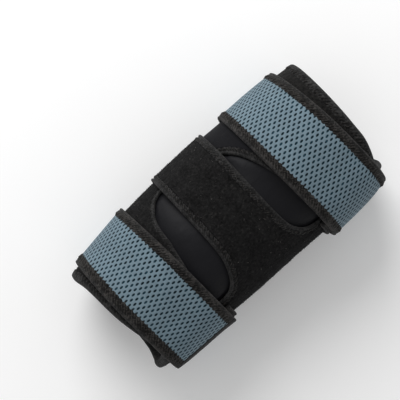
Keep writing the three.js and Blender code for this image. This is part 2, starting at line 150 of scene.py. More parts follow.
# Values that follow from the sizes above
HALF_LENGTH = BRACE_LENGTH / 2
TONGUE_LOW = TONGUE_CENTRE - TONGUE_WIDTH / 2
TONGUE_HIGH = TONGUE_CENTRE + TONGUE_WIDTH / 2
WRAP_SEAT = SLEEVE_WALL + LAYER_GAP
WING_TOP = WRAP_SEAT + WING_WALL
TONGUE_SEAT = WING_TOP + LAYER_GAP
PANEL_SEAT = WRAP_SEAT + PANEL_BRIDGING
STRAP_SEAT = PANEL_SEAT + PANEL_WALL + LAYER_GAP
OVERLAP_RISE = BINDING_WALL + LAYER_GAP
FORM_FLOOR = STRAP_SEAT + STRAP_WALL - REST_SQUASH
MM_PER_DEGREE = math.radians(FORM_WIDTH / 2 + SLEEVE_WALL)
SEAM_ANGLE = CLEARANCE / MM_PER_DEGREE
FORM_MIDDLE = (0.0015, 0.046)  # Y and Z of a line inside the form, in metres

# The straps: how they lie, how far their mesh is turned off its grain, and the widths of their
# two tapes
STRAPS = {
    "lower": {
        "centre": -HALF_LENGTH + LOWER_STRAP_INSET + STRAP_WIDTH / 2,
        "slant": 2.1,
        "drift": TAIL_DRIFT,
        "end": 163.0,
        "tab_end": 187.0,
        "grain": -5.0,
        "tapes": (7.1, 6.2),
    },
    "upper": {
        "centre": HALF_LENGTH - UPPER_STRAP_INSET - STRAP_WIDTH / 2,
        "slant": 3.2,
        "drift": -TAIL_DRIFT,
        "end": 212.0,
        "tab_end": 229.0,
        "grain": 8.0,
        "tapes": (6.5, 6.3),
    },
}

# The camera looks almost straight down; the way up in its picture is turned from Y
VIEW_TARGET = (-4.63, 22.4, 44.0)
VIEW_LEAN = (-1.43, -0.89)
VIEW_TURN = 42.5
VIEW_DISTANCE = 1.41
VIEW_LENS = 192.2
VIEW_SENSOR = 36.0

# The key light's place from the target, in metres: right and up in the picture, and height
KEY_PLACE = (-0.45, 1.19, 1.0)
KEY_SIZE = 1.2
KEY_POWER = 20.0
SKY_STRENGTH = 0.5
FLOOR_HALF = 3.0
FLOOR_LEVEL = -0.0002  # just under what lies on it


def smooth_step(low, high, value):
    t = np.clip((np.asarray(value, float) - low) / (high - low), 0, 1)
    return t * t * (3 - 2 * t)


def read_table(rows, column, value):
    """A smooth curve through one column of a table, by cubic pieces with averaged slopes"""
    rows = np.asarray(rows, float)
    place, data = rows[:, 0], rows[:, column]
    t = np.clip(np.asarray(value, float), place[0], place[-1])
    i = np.clip(np.searchsorted(place, t, side="left") - 1, 0, len(place) - 2)
    span = np.diff(place)
    run = np.diff(data) / span
    slope = np.concatenate([run[:1], (run[:-1] + run[1:]) / 2, run[-1:]])
    u = (t - place[i]) / span[i]
    u2, u3 = u * u, u * u * u
    return (
        (2 * u3 - 3 * u2 + 1) * data[i]
        + (u3 - 2 * u2 + u) * span[i] * slope[i]
        + (3 * u2 - 2 * u3) * data[i + 1]
        + (u3 - u2) * span[i] * slope[i + 1]
    )


def form_points(x, angle, lift):
    """Points at a place along the form, an angle round it and a lift above it"""
    x, angle, lift = np.broadcast_arrays(*(np.asarray(v, float) for v in (x, angle, lift)))
    at = x / BRACE_LENGTH
    half_width = FORM_WIDTH / 2 * read_table(SECTIONS, 1, at)
    half_depth = FORM_DEPTH / 2 * read_table(SECTIONS, 2, at)
    side = FORM_WIDTH * read_table(SECTIONS, 3, at)
    across = np.cos(np.radians(angle))
    front = np.sin(np.radians(angle)) >= 0
    power = np.where(front, 2.0, BACK_SQUARENESS)
    reach = np.sqrt(np.maximum(0, 1 - np.abs(across) ** power))
    up = np.where(front, reach, -reach)
    ny = power / 2 * np.sign(across) * np.abs(across) ** (power - 1) / half_width
    nz = up / half_depth
    size = np.hypot(ny, nz)
    y = side + half_width * across + lift * ny / size
    z = FORM_FLOOR + half_depth * (1 + up) + lift * nz / size
    return np.stack([x, y, np.maximum(z, 0)], axis=-1)


def end_cut(angle, column):
    return BRACE_LENGTH * read_table(END_CUTS, column, np.mod(angle, FULL_TURN))


def lower_end(angle):
    return -HALF_LENGTH + end_cut(angle, 1)


def upper_end(angle):
    return HALF_LENGTH - end_cut(angle, 2)


def inside_lower_end(angle):
    return lower_end(angle) + END_BINDING_WIDTH + CLEARANCE


def inside_upper_end(angle):
    return upper_end(angle) - END_BINDING_WIDTH - CLEARANCE


def part_offset():
    """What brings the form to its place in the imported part"""
    places = np.linspace(inside_lower_end(0.0), inside_upper_end(0.0), 9)
    side = form_points(places, 0.0, SLEEVE_WALL)[:, 1].max()
    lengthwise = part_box("lower_end_binding")[0][0] / MM + HALF_LENGTH
    return np.array([lengthwise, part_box("sleeve")[1][1] / MM - side, 0.0])


OFFSET = part_offset()


def part_points(x, angle, lift):
    """Points on the form at their place in the part, in metres"""
    return (form_points(x, angle, lift) + OFFSET) * MM


def cubic(p0, p1, p2, p3, w):
    """Points between p1 and p2 on a uniform Catmull-Rom curve"""
    v0, v1 = (p2 - p0) / 2, (p3 - p1) / 2
    cube, square = 2 * (p1 - p2) + v0 + v1, 3 * (p2 - p1) - 2 * v0 - v1
    return cube * w**3 + square * w**2 + v0 * w + p1


def spline(points, per_span):
    """A smooth open line through points"""
    points = np.asarray(points, float)
    last = len(points) - 1
    t = np.linspace(0, last, last * per_span + 1)
    i = np.minimum(t.astype(int), last - 1)
    ends = points[np.maximum(i - 1, 0)], points[np.minimum(i + 2, last)]
    return cubic(ends[0], points[i], points[i + 1], ends[1], (t - i)[:, None])


def travelled(line):
    """How far each point of a line is from its start"""
    return np.concatenate([[0], np.cumsum(np.linalg.norm(np.diff(line, axis=0), axis=1))])


def spaced(line, step):
    """The line with points at equal distances of about a step"""
    far = travelled(line)
    places = np.linspace(0, far[-1], max(2, int(round(far[-1] / step)) + 1))
    return np.stack([np.interp(places, far, line[:, k]) for k in range(line.shape[1])], axis=1)


def edge_line(rows, tongue_edge, end, before=()):
    """A window's side as (along, round) points in millimetres with equal spacing"""
    points = []
    for angle, run in [*((a, 0.0) for a in before), *rows]:
        goal = TONGUE_CENTRE if run < 0 else end
        points.append((tongue_edge + (goal - tongue_edge) * abs(run), angle * MM_PER_DEGREE))
    return spaced(spline(points, 24), 0.8)


def move_line(line, distance, side):
    """The line moved sideways over the cloth; side is 1 for left of its way, -1 for right"""
    way = np.gradient(line, axis=0)
    way /= np.linalg.norm(way, axis=1)[:, None]
    return line + side * distance * np.stack([-way[:, 1], way[:, 0]], axis=1)


def line_at(line, angle):
    """Where a line lies along the form at an angle round it"""
    order = np.argsort(line[:, 1])
    return np.interp(np.asarray(angle) * MM_PER_DEGREE, line[order, 1], line[order, 0])


TONGUE_ANGLES = (TONGUE_END, TONGUE_END / 2, 0.0, TONGUE_CLIMB[0])
LOWER_WING_LINE = edge_line(LOWER_WING_EDGE, TONGUE_LOW, -HALF_LENGTH)
UPPER_WING_LINE = edge_line(UPPER_WING_EDGE, TONGUE_HIGH, HALF_LENGTH)
LOWER_PANEL_LINE = edge_line(LOWER_PANEL_EDGE, TONGUE_LOW, -HALF_LENGTH, TONGUE_ANGLES)
UPPER_PANEL_LINE = edge_line(UPPER_PANEL_EDGE, TONGUE_HIGH, HALF_LENGTH, TONGUE_ANGLES)
LOWER_PANEL_SHEET = move_line(LOWER_PANEL_LINE, PANEL_EDGING_WIDTH + CLEARANCE, -1)
UPPER_PANEL_SHEET = move_line(UPPER_PANEL_LINE, PANEL_EDGING_WIDTH + CLEARANCE, 1)
LOWER_WING_SHEET = move_line(LOWER_WING_LINE, LOWER_WING_EDGING_WIDTH + CLEARANCE, 1)
UPPER_WING_SHEET = move_line(UPPER_WING_LINE, UPPER_WING_EDGING_WIDTH + CLEARANCE, -1)
LOWER_SEAM = LOWER_PANEL_SHEET[-1, 1] / MM_PER_DEGREE + SEAM_GAP
UPPER_SEAM = UPPER_PANEL_SHEET[-1, 1] / MM_PER_DEGREE + SEAM_GAP


def wing_lifts(angle):
    return WRAP_SEAT + 0 * angle, WING_TOP + 0 * angle


def panel_lifts(angle):
    """The panel's inner and outer lift, which rise where the tongue crosses the wings"""
    climb = 1 - smooth_step(*TONGUE_CLIMB, angle)
    inner = PANEL_SEAT + (TONGUE_SEAT - PANEL_SEAT) * climb
    return inner, inner + PANEL_WALL


def strap_seat(angle):
    return STRAP_SEAT + OVERLAP_RISE * smooth_step(*OVERLAP_CLIMB, angle)


def strap_cut(strap, angle, from_low=0.0, from_high=0.0):
    """A cut across a strap between two distances from its edges"""
    turn = np.radians(angle)
    tail = 1 - smooth_step(*TAIL_DRIFT_SPAN, angle)
    middle = strap["centre"] - strap["slant"] * np.cos(turn) + strap["drift"] * tail
    half = (STRAP_WIDTH - STRAP_PINCH * np.maximum(0, np.cos(turn)) ** 1.5) / 2
    return middle - half + from_low, middle + half - from_high


def strap_cloth_cut(strap, angle):
    """A cut across a strap's mesh cloth, which is tucked under both tapes"""
    return strap_cut(strap, angle, *(width - TUCK for width in strap["tapes"]))


def strap_angles(strap, step):
    return np.linspace(TAIL_END, strap["end"], int((strap["end"] - TAIL_END) / step) + 1)


def ring(step):
    return np.arange(0, FULL_TURN, step)


def sides(angles, low, high):
    """The two edges of a strip whose steps go round the form"""
    return [np.stack(np.broadcast_arrays(edge, angles), axis=1) for edge in (low, high)]


def section(points, refine=2):
    """A closed outline of a strip: share of width, offset, share of thickness and offset"""
    points = np.asarray(points, float)
    t = np.arange(len(points) * refine) / refine
    i = t.astype(int)
    near = [points[(i + k) % len(points)] for k in (-1, 0, 1, 2)]
    return cubic(*near, (t - i)[:, None])


def slab_section(columns, rounding):
    """The outline of a flat sheet with rounded edges"""
    turns = np.radians([-90, -54, -18, 18, 54, 90])
    rows = [(0.0, rounding * (1 - math.cos(a)), 0.5 + 0.5 * math.sin(a), 0.0) for a in turns]
    rows += [(j / columns, 0.0, 1.0, 0.0) for j in range(1, columns)]
    rows += [(1.0, -r[1], r[2], 0.0) for r in rows[5::-1]]
    rows += [(j / columns, 0.0, 0.0, 0.0) for j in range(columns - 1, 0, -1)]
    return np.asarray(rows)


def rounded_ends(angles, inner, outer, reach):
    """Thins a strip towards its first and last step, so its ends are round"""
    far = np.concatenate([[0], np.cumsum(np.abs(np.diff(angles)) * MM_PER_DEGREE)])
    near = np.minimum(far, far[-1] - far)
    share = np.clip(near / reach, 0, 1)
    share = np.maximum(np.sqrt(1 - (1 - share) ** 2), 0.12)
    middle = (inner + outer) / 2
    return middle + (inner - middle) * share, middle + (outer - middle) * share


def strip(name, edges, lifts, outline, joined=False, relief=None, ripple=None):
    """A closed body swept between two edges of (along mm, degrees) points"""
    start, finish = (np.asarray(edge, float) for edge in edges)
    inner, outer = (np.broadcast_to(lift, len(start)).astype(float) for lift in lifts)
    span = finish - start
    width = np.hypot(span[:, 0], span[:, 1] * MM_PER_DEGREE)
    middle = form_points(*((start + finish) / 2).T, (inner + outer) / 2)
    far = travelled(middle)
    across = outline[None, :, 0] * width[:, None] + outline[None, :, 1]
    rise = inner[:, None] + outline[None, :, 2] * (outer - inner)[:, None] + outline[None, :, 3]
    if ripple is not None:
        side, up = ripple(far[:, None], outline[None, :, 0], outline[None, :, 2])
        across, rise = across + side, rise + up
    share = across / width[:, None]
    along = start[:, :1] + span[:, :1] * share
    angle = start[:, 1:] + span[:, 1:] * share
    if relief is not None:
        rise = rise + relief(along, angle) * outline[None, :, 2]
    closing = np.linalg.norm(middle[-1] - middle[0])
    points = part_points(along, angle, rise)
    return loop_mesh(name, points, across * MM, far * MM, joined, closing * MM)


def mapped_mesh(name, points, faces, uv, smooth=False):
    """A mesh with a cloth map"""
    mesh = bpy.data.meshes.new(name)
    mesh.from_pydata(points.reshape(-1, 3).tolist(), [], faces)
    layer = mesh.uv_layers.new(name="cloth")
    layer.data.foreach_set("uv", uv.astype(np.float32).ravel())
    mesh.polygons.foreach_set("use_smooth", [smooth] * len(mesh.polygons))
    mesh.update()
    return mesh


def loop_mesh(name, points, across, far, joined, closing):
    """Joins loops of points to a closed body with a cloth map in metres"""
    loops, size = points.shape[:2]
    i, j = np.meshgrid(np.arange(loops if joined else loops - 1), np.arange(size), indexing="ij")
    n, k = (i + 1) % loops, (j + 1) % size
    corners = [(i, j), (n, j), (n, k), (i, k)]
    quads = np.stack([(a * size + b).ravel() for a, b in corners], axis=1)
    here, there = far[i].ravel(), np.append(far[1:], far[-1] + closing)[i].ravel()
    rounds = [across[a, b].ravel() for a, b in corners]
    uv = np.stack([np.stack(c, 1) for c in zip(rounds, (here, there, there, here))], axis=1)
    a, b, c, d = points.reshape(-1, 3)[quads.T]
    inside_out = (a * np.cross(b, c)).sum() + (a * np.cross(c, d)).sum() < 0
    if inside_out:
        quads, uv = quads[:, ::-1], uv[:, ::-1]
    faces, uv = quads.tolist(), uv.reshape(-1, 2)
    if not joined:
        first = np.arange(size)
        for end in (first, first[::-1] + (loops - 1) * size):
            end = end[::-1] if inside_out else end
            faces.append(end.tolist())
            end_uv = np.stack([across[end // size, end % size], far[end // size]], axis=1)
            uv = np.concatenate([uv, end_uv])
    return mapped_mesh(name, points, faces, uv, smooth=True)


def grid_mesh(name, points, across, far):
    """An open sheet of quads whose map runs from 0 to 1 both ways"""
    rows, columns = points.shape[:2]
    i, j = np.meshgrid(np.arange(rows - 1), np.arange(columns - 1), indexing="ij")
    corners = [(i, j), (i, j + 1), (i + 1, j + 1), (i + 1, j)]
    quads = np.stack([(a * columns + b).ravel() for a, b in corners], axis=1)
    uv = np.stack([np.stack([across[b].ravel(), far[a].ravel()], 1) for a, b in corners], 1)
    return mapped_mesh(name, points, quads.tolist(), uv)


def make_object(name, mesh, material=None):
    piece = bpy.data.objects.new(name, mesh)
    bpy.context.scene.collection.objects.link(piece)
    if material is not None:
        mesh.materials.append(material)
    return piece


def dress(piece, slot, *nodes):
    """Ties a finished piece to the part's body and hides the solids that it shows"""
    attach(piece, "root")
    if nodes:
        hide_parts(*nodes)
    return piece


def sweep(name, slot, node, material, *shape, **details):
    """Makes a strip as a finished piece that shows one solid"""
    return dress(make_object(name, strip(name, *shape, **details), material), slot, node)


def outwards(centre):
    """The way from the form's middle to a place"""
    return Vector((0.0, centre[1] - FORM_MIDDLE[0], centre[2] - FORM_MIDDLE[1]))


def link_or_set(tree, slot, value):
    if isinstance(value, Field):
        tree.links.new(value.socket, slot)
    else:
        slot.default_value = value


def maths(tree, operation, *values):
    """A sum of fields and numbers in a node tree"""
    node = tree.nodes.new("ShaderNodeMath")
    node.operation = operation
    for slot, value in zip(node.inputs, values):
        link_or_set(tree, slot, value)
    return Field(tree, node.outputs[0])


class Field:
    """A socket in a node tree that takes part in Python sums"""

    def __init__(self, tree, socket):
        self.tree = tree
        self.socket = socket

    def maths(self, operation, *others):
        return maths(self.tree, operation, self, *others)

    def wave(self):
        """A sine of the value, from 0 to 1"""
        return self.maths("SINE") * 0.5 + 0.5

    def between(self, low, high):
        return self.maths("MINIMUM", high).maths("MAXIMUM", low)

    def clamped(self):
        return self.between(0.0, 1.0)


def add_sum(sign, operation):
    """Gives fields a Python sign, with the field on either side of it"""
    setattr(Field, f"__{sign}__", lambda a, b: maths(a.tree, operation, a, b))
    setattr(Field, f"__r{sign}__", lambda a, b: maths(a.tree, operation, b, a))


add_sum("add", "ADD")
add_sum("sub", "SUBTRACT")
add_sum("mul", "MULTIPLY")
add_sum("truediv", "DIVIDE")
add_sum("pow", "POWER")


class Nodes:
    """Adds nodes to a tree, with sockets given by name, or as _2 for the third one"""

    def node(self, kind, settings=(), output=0, **sockets):
        """A node with its settings made first, then its sockets; returns one output"""
        made = self.tree.nodes.new(kind)
        for name, value in dict(settings).items():
            setattr(made, name, value)
        for name, value in sockets.items():
            slot = made.inputs[int(name[1:]) if name[0] == "_" else name.replace("_", " ")]
            link_or_set(self.tree, slot, value)
        return Field(self.tree, made.outputs[output])

    def other(self, field, name):
        """Another output of the node that a field comes from"""
        return Field(self.tree, field.socket.node.outputs[name])

    def parts(self, vector):
        x = self.node("ShaderNodeSeparateXYZ", Vector=vector)
        return [self.other(x, name) for name in "XYZ"]


class Finish(Nodes):
    """Builds one material's nodes"""

    def __init__(self, name):
        self.material = bpy.data.materials.new(name)
        self.material.use_nodes = True
        self.tree = self.material.node_tree
        self.tree.nodes.clear()

    def place(self):
        """The place on the piece, in metres"""
        return self.node("ShaderNodeTexCoord", output="Object")

    def cloth(self):
        """The places across and along the cloth, in metres"""
        return self.parts(self.node("ShaderNodeUVMap", {"uv_map": "cloth"}))[:2]

    def noise(self, vector, grain, detail=3.0, roughness=0.55, stretch=(1, 1, 1)):
        """Noise whose grain is a size in millimetres"""
        if stretch != (1, 1, 1):
            vector = self.node("ShaderNodeMapping", Vector=vector, Scale=stretch)
        texture = {"Scale": 1 / (grain * MM), "Detail": detail, "Roughness": roughness}
        return self.node("ShaderNodeTexNoise", Vector=vector, **texture)

    def blend(self, share, first, second):
        """A colour between two others"""
        return self.node(
            "ShaderNodeMix", {"data_type": "RGBA"}, output=2, _0=share, _6=first, _7=second
        )

    def shades(self, share, base, first, second):
        """A colour between two tints of one colour"""
        return self.blend(share, tint(base, first), tint(base, second))

    def bump(self, height, depth, strength=1.0, under=None):
        """Relief whose depth is in millimetres for a height of 0 to 1"""
        sockets = {"Height": height, "Distance": depth * MM, "Strength": strength}
        if under is not None:
            sockets["Normal"] = under
        return self.node("ShaderNodeBump", **sockets)

    def surface(self, **sockets):
        shader = self.node("ShaderNodeBsdfPrincipled", **sockets)
        output = self.tree.nodes.new("ShaderNodeOutputMaterial")
        self.tree.links.new(shader.socket, output.inputs["Surface"])
        return self.material


def tint(rgb, share=1.0):
    return (rgb[0] * share, rgb[1] * share, rgb[2] * share, 1.0)


def knit_height(finish, pitch):
    """Rows of small knitted loops on the cloth map, as a height from 0 to 1"""
    across, along = finish.cloth()
    turn = math.tau / (pitch * MM)
    rib = (across * turn).wave()
    loop = (along * (turn * 1.3) + (across * turn).maths("SINE") * 1.2).wave()
    return rib * 0.5 + loop * 0.5


def smooth_cloth(name, colours, roughness, sheen, brushed_from=1.0):
    """A fine smooth knit over foam, with soft creases, brushed beyond a place along X: there
    brownish fuzz lies on a dark ground that is partly the nap's own tone and partly painted shade
    of the valley between two tapes
    """
    f = Finish(name)
    place = f.place()
    creases = f.noise(place, 9.0, 2.0, 0.5, (1.0, 1.7, 1.7))
    fine = f.noise(place, 0.6, 3.0)
    patch = f.noise(place, 26.0, 2.0)
    colour = f.shades(patch, colours.cloth, 0.75, 1.35)
    relief = f.bump(creases, 0.7, 0.55)
    relief = f.bump(knit_height(f, 0.55), 0.05, 0.6, relief)
    relief = f.bump(fine, 0.08, 0.5, relief)
    # Past this place along X the cloth turns to brushed nap, whose dark ground is partly painted
    # shade of the valley between two tapes
    brushed = ((f.parts(place)[0] - brushed_from) / (6.0 * MM)).clamped()
    tufts = f.noise(place, 1.8, 4.0, 0.7)
    share = ((tufts - 0.5) * 3.0 + 0.35).clamped()
    nap = f.blend(share, tint(colours.pile, 0.25), tint(colours.binding))
    colour = f.blend(brushed, colour, nap)
    relief = f.bump(tufts * brushed, 1.0, 1.0, relief)
    return f.surface(
        Base_Color=colour,
        Roughness=fine * 0.1 + roughness,
        Normal=relief,
        Sheen_Weight=sheen,
        Sheen_Roughness=0.45,
        Sheen_Tint=tint(colours.bloom),
        Specular_IOR_Level=0.15,
    )


def pile_cloth(name, colours):
    """Brushed loops: matt, nearly black, rough at every small scale, with paler fluff"""
    f = Finish(name)
    place = f.place()
    tufts = f.noise(place, 1.5, 4.0, 0.7)
    nap = f.noise(place, 5.0, 3.0, 0.6, (1.0, 0.5, 0.5))
    fluff = ((f.noise(place, 1.9, 2.0, 0.6) - 0.57) / 0.13).clamped()
    share = ((tufts - 0.5) * 2.0 + (nap - 0.5) * 0.9 + 0.4).clamped()
    colour = f.shades(share, colours.pile, 0.4, 2.0)
    colour = f.blend(fluff * 0.07, colour, tint(colours.fluff))
    return f.surface(
        Base_Color=colour,
        Roughness=0.95,
        Normal=f.bump(tufts, 1.0, 1.0, f.bump(nap, 0.8, 0.6)),
        Sheen_Weight=0.022,
        Sheen_Roughness=0.5,
        Sheen_Tint=tint(colours.bloom),
        Specular_IOR_Level=0.06,
    )


def woven_tape(name, base, rib=2.2, depth=0.3, sheen=0.04, row=4.4):
    """Woven tape with slanting ribs and a row of pits where its stitches sink in, painted darker
    as painted shade

    Its outer 2 mm are a smooth roll, painted lighter grey: partly the tape's own tone, partly a
    painted highlight where the round roll catches light. The pits lie in a row at a distance from
    its edge.
    """
    f = Finish(name)
    place = f.place()
    across, along = f.cloth()
    turn = math.tau / (rib * MM)
    fuzz = f.noise(place, 1.5, 3.0, 0.7)
    worn = f.noise(place, 6.0, 3.0)
    ribs = (along * turn + across * (turn * 0.9) + fuzz * 4.0 + worn * 7.0).wave()
    threads = (across * (turn * 3.1) - along * (turn * 2.3)).wave()
    near = (1.0 - (across - row * MM).maths("ABSOLUTE") / (1.2 * MM)).clamped()
    pits = near * (along * (turn * 0.45) + across * (turn * 0.5) + worn * 5.0).wave() ** 2.0
    inner = ((across - 1.8 * MM) / (0.8 * MM)).clamped()
    share = ribs * (inner * 0.4 + 0.1) + (fuzz - 0.5) * 2.2 + (worn - 0.5) * 1.5
    share = (share + 0.5 - inner * 0.28).clamped()
    # The outer roll is painted lighter grey: partly the tape's own tone, partly a painted
    # highlight where the round roll catches light
    grey = [sum(base) / 3 * 1.35] * 3
    dark = f.blend(inner, tint(grey, 0.45), tint(base, 0.28))
    light = f.blend(share, dark, f.blend(inner, tint(grey), tint(base)))
    colour = f.blend((share * 1.6 - 0.6).clamped(), light, tint(base, 2.6))
    relief = f.bump(ribs * 0.7 + threads * 0.3, depth, 0.8)
    relief = f.bump(pits, -0.5, 0.8, relief)
    return f.surface(
        # The pits are painted darker: painted shade in the stitch holes
        Base_Color=f.blend(pits * 0.8, colour, tint(base, 0.2)),
        Roughness=0.88,
        Normal=f.bump(fuzz, 0.5, 0.8, relief),
        Sheen_Weight=sheen,
        Sheen_Roughness=0.5,
        Specular_IOR_Level=0.15,
    )


def mesh_cloth(name, colours):
    """The straps' blue-grey knitted mesh: fine ribs, a little mottled, dark in the holes, whose
    rims and walls take the backing's colour as painted shade
    """
    f = Finish(name)
    place = f.place()
    ribs = knit_height(f, 0.5)
    mottle = f.noise(place, 2.4, 4.0, 0.65)
    broad = f.noise(place, 18.0, 2.0)
    share = (ribs * 0.3 + mottle * 0.55 + broad * 0.5 - 0.2).clamped()
    colour = f.shades(share, colours.mesh, 0.68, 1.3)
    hole = f.node("ShaderNodeAttribute", {"attribute_name": "hole"}, output="Fac")
    return f.surface(
        # The hole's rim and walls take the backing's colour: painted shade
        Base_Color=f.blend((hole * 1.3 - 0.1).clamped(), colour, tint(colours.backing)),
        Roughness=mottle * 0.15 + 0.7,
        Normal=f.bump(mottle, 0.15, 0.5, f.bump(ribs, 0.14, 0.8)),
        Sheen_Weight=0.1,
        Sheen_Roughness=0.4,
        Specular_IOR_Level=0.25,
    )


def hook_tape(name, colours):
    """Grip tape with rows of small stiff hooks"""
    f = Finish(name)
    across, along = f.cloth()
    turn = math.tau / (1.2 * MM)
    hooks = (across * turn).wave() * (along * turn).wave()
    return f.surface(
        Base_Color=f.shades(hooks, colours.tape, 0.4, 1.4),
        Roughness=f.noise(f.place(), 0.5, 2.0) * 0.2 + 0.6,
        Normal=f.bump(hooks, 0.5, 1.0),
        Specular_IOR_Level=0.2,
    )


def spun_thread(name, base, share=1.0):
    """Twisted thread or fibre"""
    f = Finish(name)
    twist = f.noise(f.place(), 0.3, 2.0)
    return f.surface(
        Base_Color=f.shades(twist, base, 0.6 * share, 1.4 * share),
        Roughness=0.75,
        Normal=f.bump(twist, 0.08, 0.6),
        Specular_IOR_Level=0.12,
    )


def floor_finish(name, base):
    f = Finish(name)
    return f.surface(
        Base_Color=f.shades(f.noise(f.place(), 40.0, 2.0), base, 0.985, 1.0),
        Roughness=0.9,
        Specular_IOR_Level=0.1,
        Emission_Color=tint(base),
        Emission_Strength=0.1,
    )


FINISHES = {}


def finish_named(name, maker, *details, **sizes):
    """The material of this name, made when it is first asked for"""
    if name not in FINISHES:
        FINISHES[name] = maker(f"dressed_{name}", *details, **sizes)
    return FINISHES[name]


class Growth(Nodes):
    """Builds a Geometry Nodes tree with named inputs and applies it to a piece"""

    def __init__(self, name, inputs):
        """Inputs have their first value, or the kind of thing that they take"""
        self.tree = bpy.data.node_groups.new(name, "GeometryNodeTree")
        face = self.tree.interface
        face.new_socket("Geometry", in_out="INPUT", socket_type="NodeSocketGeometry")
        self.keys = {}
        for label, value in {**inputs, "Material": "Material"}.items():
            kind = {float: "Float", int: "Int"}.get(type(value), value)
            socket = face.new_socket(label, in_out="INPUT", socket_type=f"NodeSocket{kind}")
            if kind != value:
                socket.default_value = value
            self.keys[label] = socket.identifier
        face.new_socket("Geometry", in_out="OUTPUT", socket_type="NodeSocketGeometry")
        self.start = self.tree.nodes.new("NodeGroupInput")
        self.last = self.tree.nodes.new("NodeGroupOutput")

    def given(self, label):
        return Field(self.tree, self.start.outputs[label])

    def named(self, name, kind="FLOAT_VECTOR"):
        return self.node("GeometryNodeInputNamedAttribute", {"data_type": kind}, Name=name)

    def vector(self, operation, *values):
        sockets = {f"_{k}": value for k, value in enumerate(values)}
        return self.node("ShaderNodeVectorMath", {"operation": operation}, **sockets)

    def scaled(self, vector, share):
        return self.node("ShaderNodeVectorMath", {"operation": "SCALE"}, _0=vector, Scale=share)

    def laid(self, points, instance, rotation, size):
        """Ends in instances as real faces, none below the floor"""
        instances = self.node(
            "GeometryNodeInstanceOnPoints",
            Points=points,
            Instance=instance,
            Rotation=rotation,
            Scale=self.node("ShaderNodeCombineXYZ", **dict(zip("XYZ", size))),
        )
        real = self.node("GeometryNodeRealizeInstances", Geometry=instances)
        x, y, z = self.parts(self.node("GeometryNodeInputPosition"))
        above = self.node("ShaderNodeCombineXYZ", X=x, Y=y, Z=z.maths("MAXIMUM", 0.0))
        return self.end(self.node("GeometryNodeSetPosition", Geometry=real, Position=above))

    def end(self, geometry):
        """Every tree ends in one material"""
        material = self.given("Material")
        done = self.node("GeometryNodeSetMaterial", Geometry=geometry, Material=material)
        self.tree.links.new(done.socket, self.last.inputs[0])
        return self

    def apply(self, name, base, values):
        """The tree's result on a base mesh as a plain piece"""
        carrier = make_object(f"{name}_seat", base)
        modifier = carrier.modifiers.new("growth", "NODES")
        modifier.node_group = self.tree
        for label, value in values.items():
            modifier[self.keys[label]] = value
        bpy.context.view_layer.update()
        seen = carrier.evaluated_get(bpy.context.evaluated_depsgraph_get())
        mesh = bpy.data.meshes.new_from_object(seen)
        mesh.name = name
        carrier.modifiers.remove(modifier)
        bpy.data.objects.remove(carrier)
        return make_object(name, mesh)


def stitch_tree():
    """Short threads at even steps along seam lines, lying slantwise or in a zigzag"""
    sizes = {"Pitch": 0.0033, "Thread Length": 0.002, "Thread Thickness": 0.0006}
    g = Growth("Stitches", {**sizes, "Lean": 0.6, "Zigzag": 0.0})
    line = g.node("GeometryNodeMeshToCurve", Mesh=g.given("Geometry"))
    pitch = g.given("Pitch")
    even = g.node("GeometryNodeResampleCurve", {"mode": "LENGTH"}, Curve=line, Length=pitch)
    align = "FunctionNodeAlignRotationToVector"
    upright = g.node(align, {"axis": "Z"}, Vector=g.named("outward"))
    along = g.node(
        align,
        {"axis": "X", "pivot_axis": "Z"},
        Rotation=upright,
        Vector=g.node("GeometryNodeInputTangent"),
    )
    odd = g.node("GeometryNodeInputIndex").maths("MODULO", 2.0)
    lean = g.given("Lean") * (1.0 - odd * g.given("Zigzag") * 2.0)
    slant = g.node("FunctionNodeAxisAngleToRotation", Axis=(0, 0, 1), Angle=lean)
    turned = g.node(
        "FunctionNodeRotateRotation", {"rotation_space": "LOCAL"}, Rotation=along, Rotate_By=slant
    )
    thread = g.node("GeometryNodeMeshUVSphere", Segments=6, Rings=5, Radius=0.5)
    soft = g.node("GeometryNodeSetShadeSmooth", Geometry=thread)
    thick = g.given("Thread Thickness")
    return g.laid(even, soft, turned, (g.given("Thread Length"), thick, thick * 0.8))


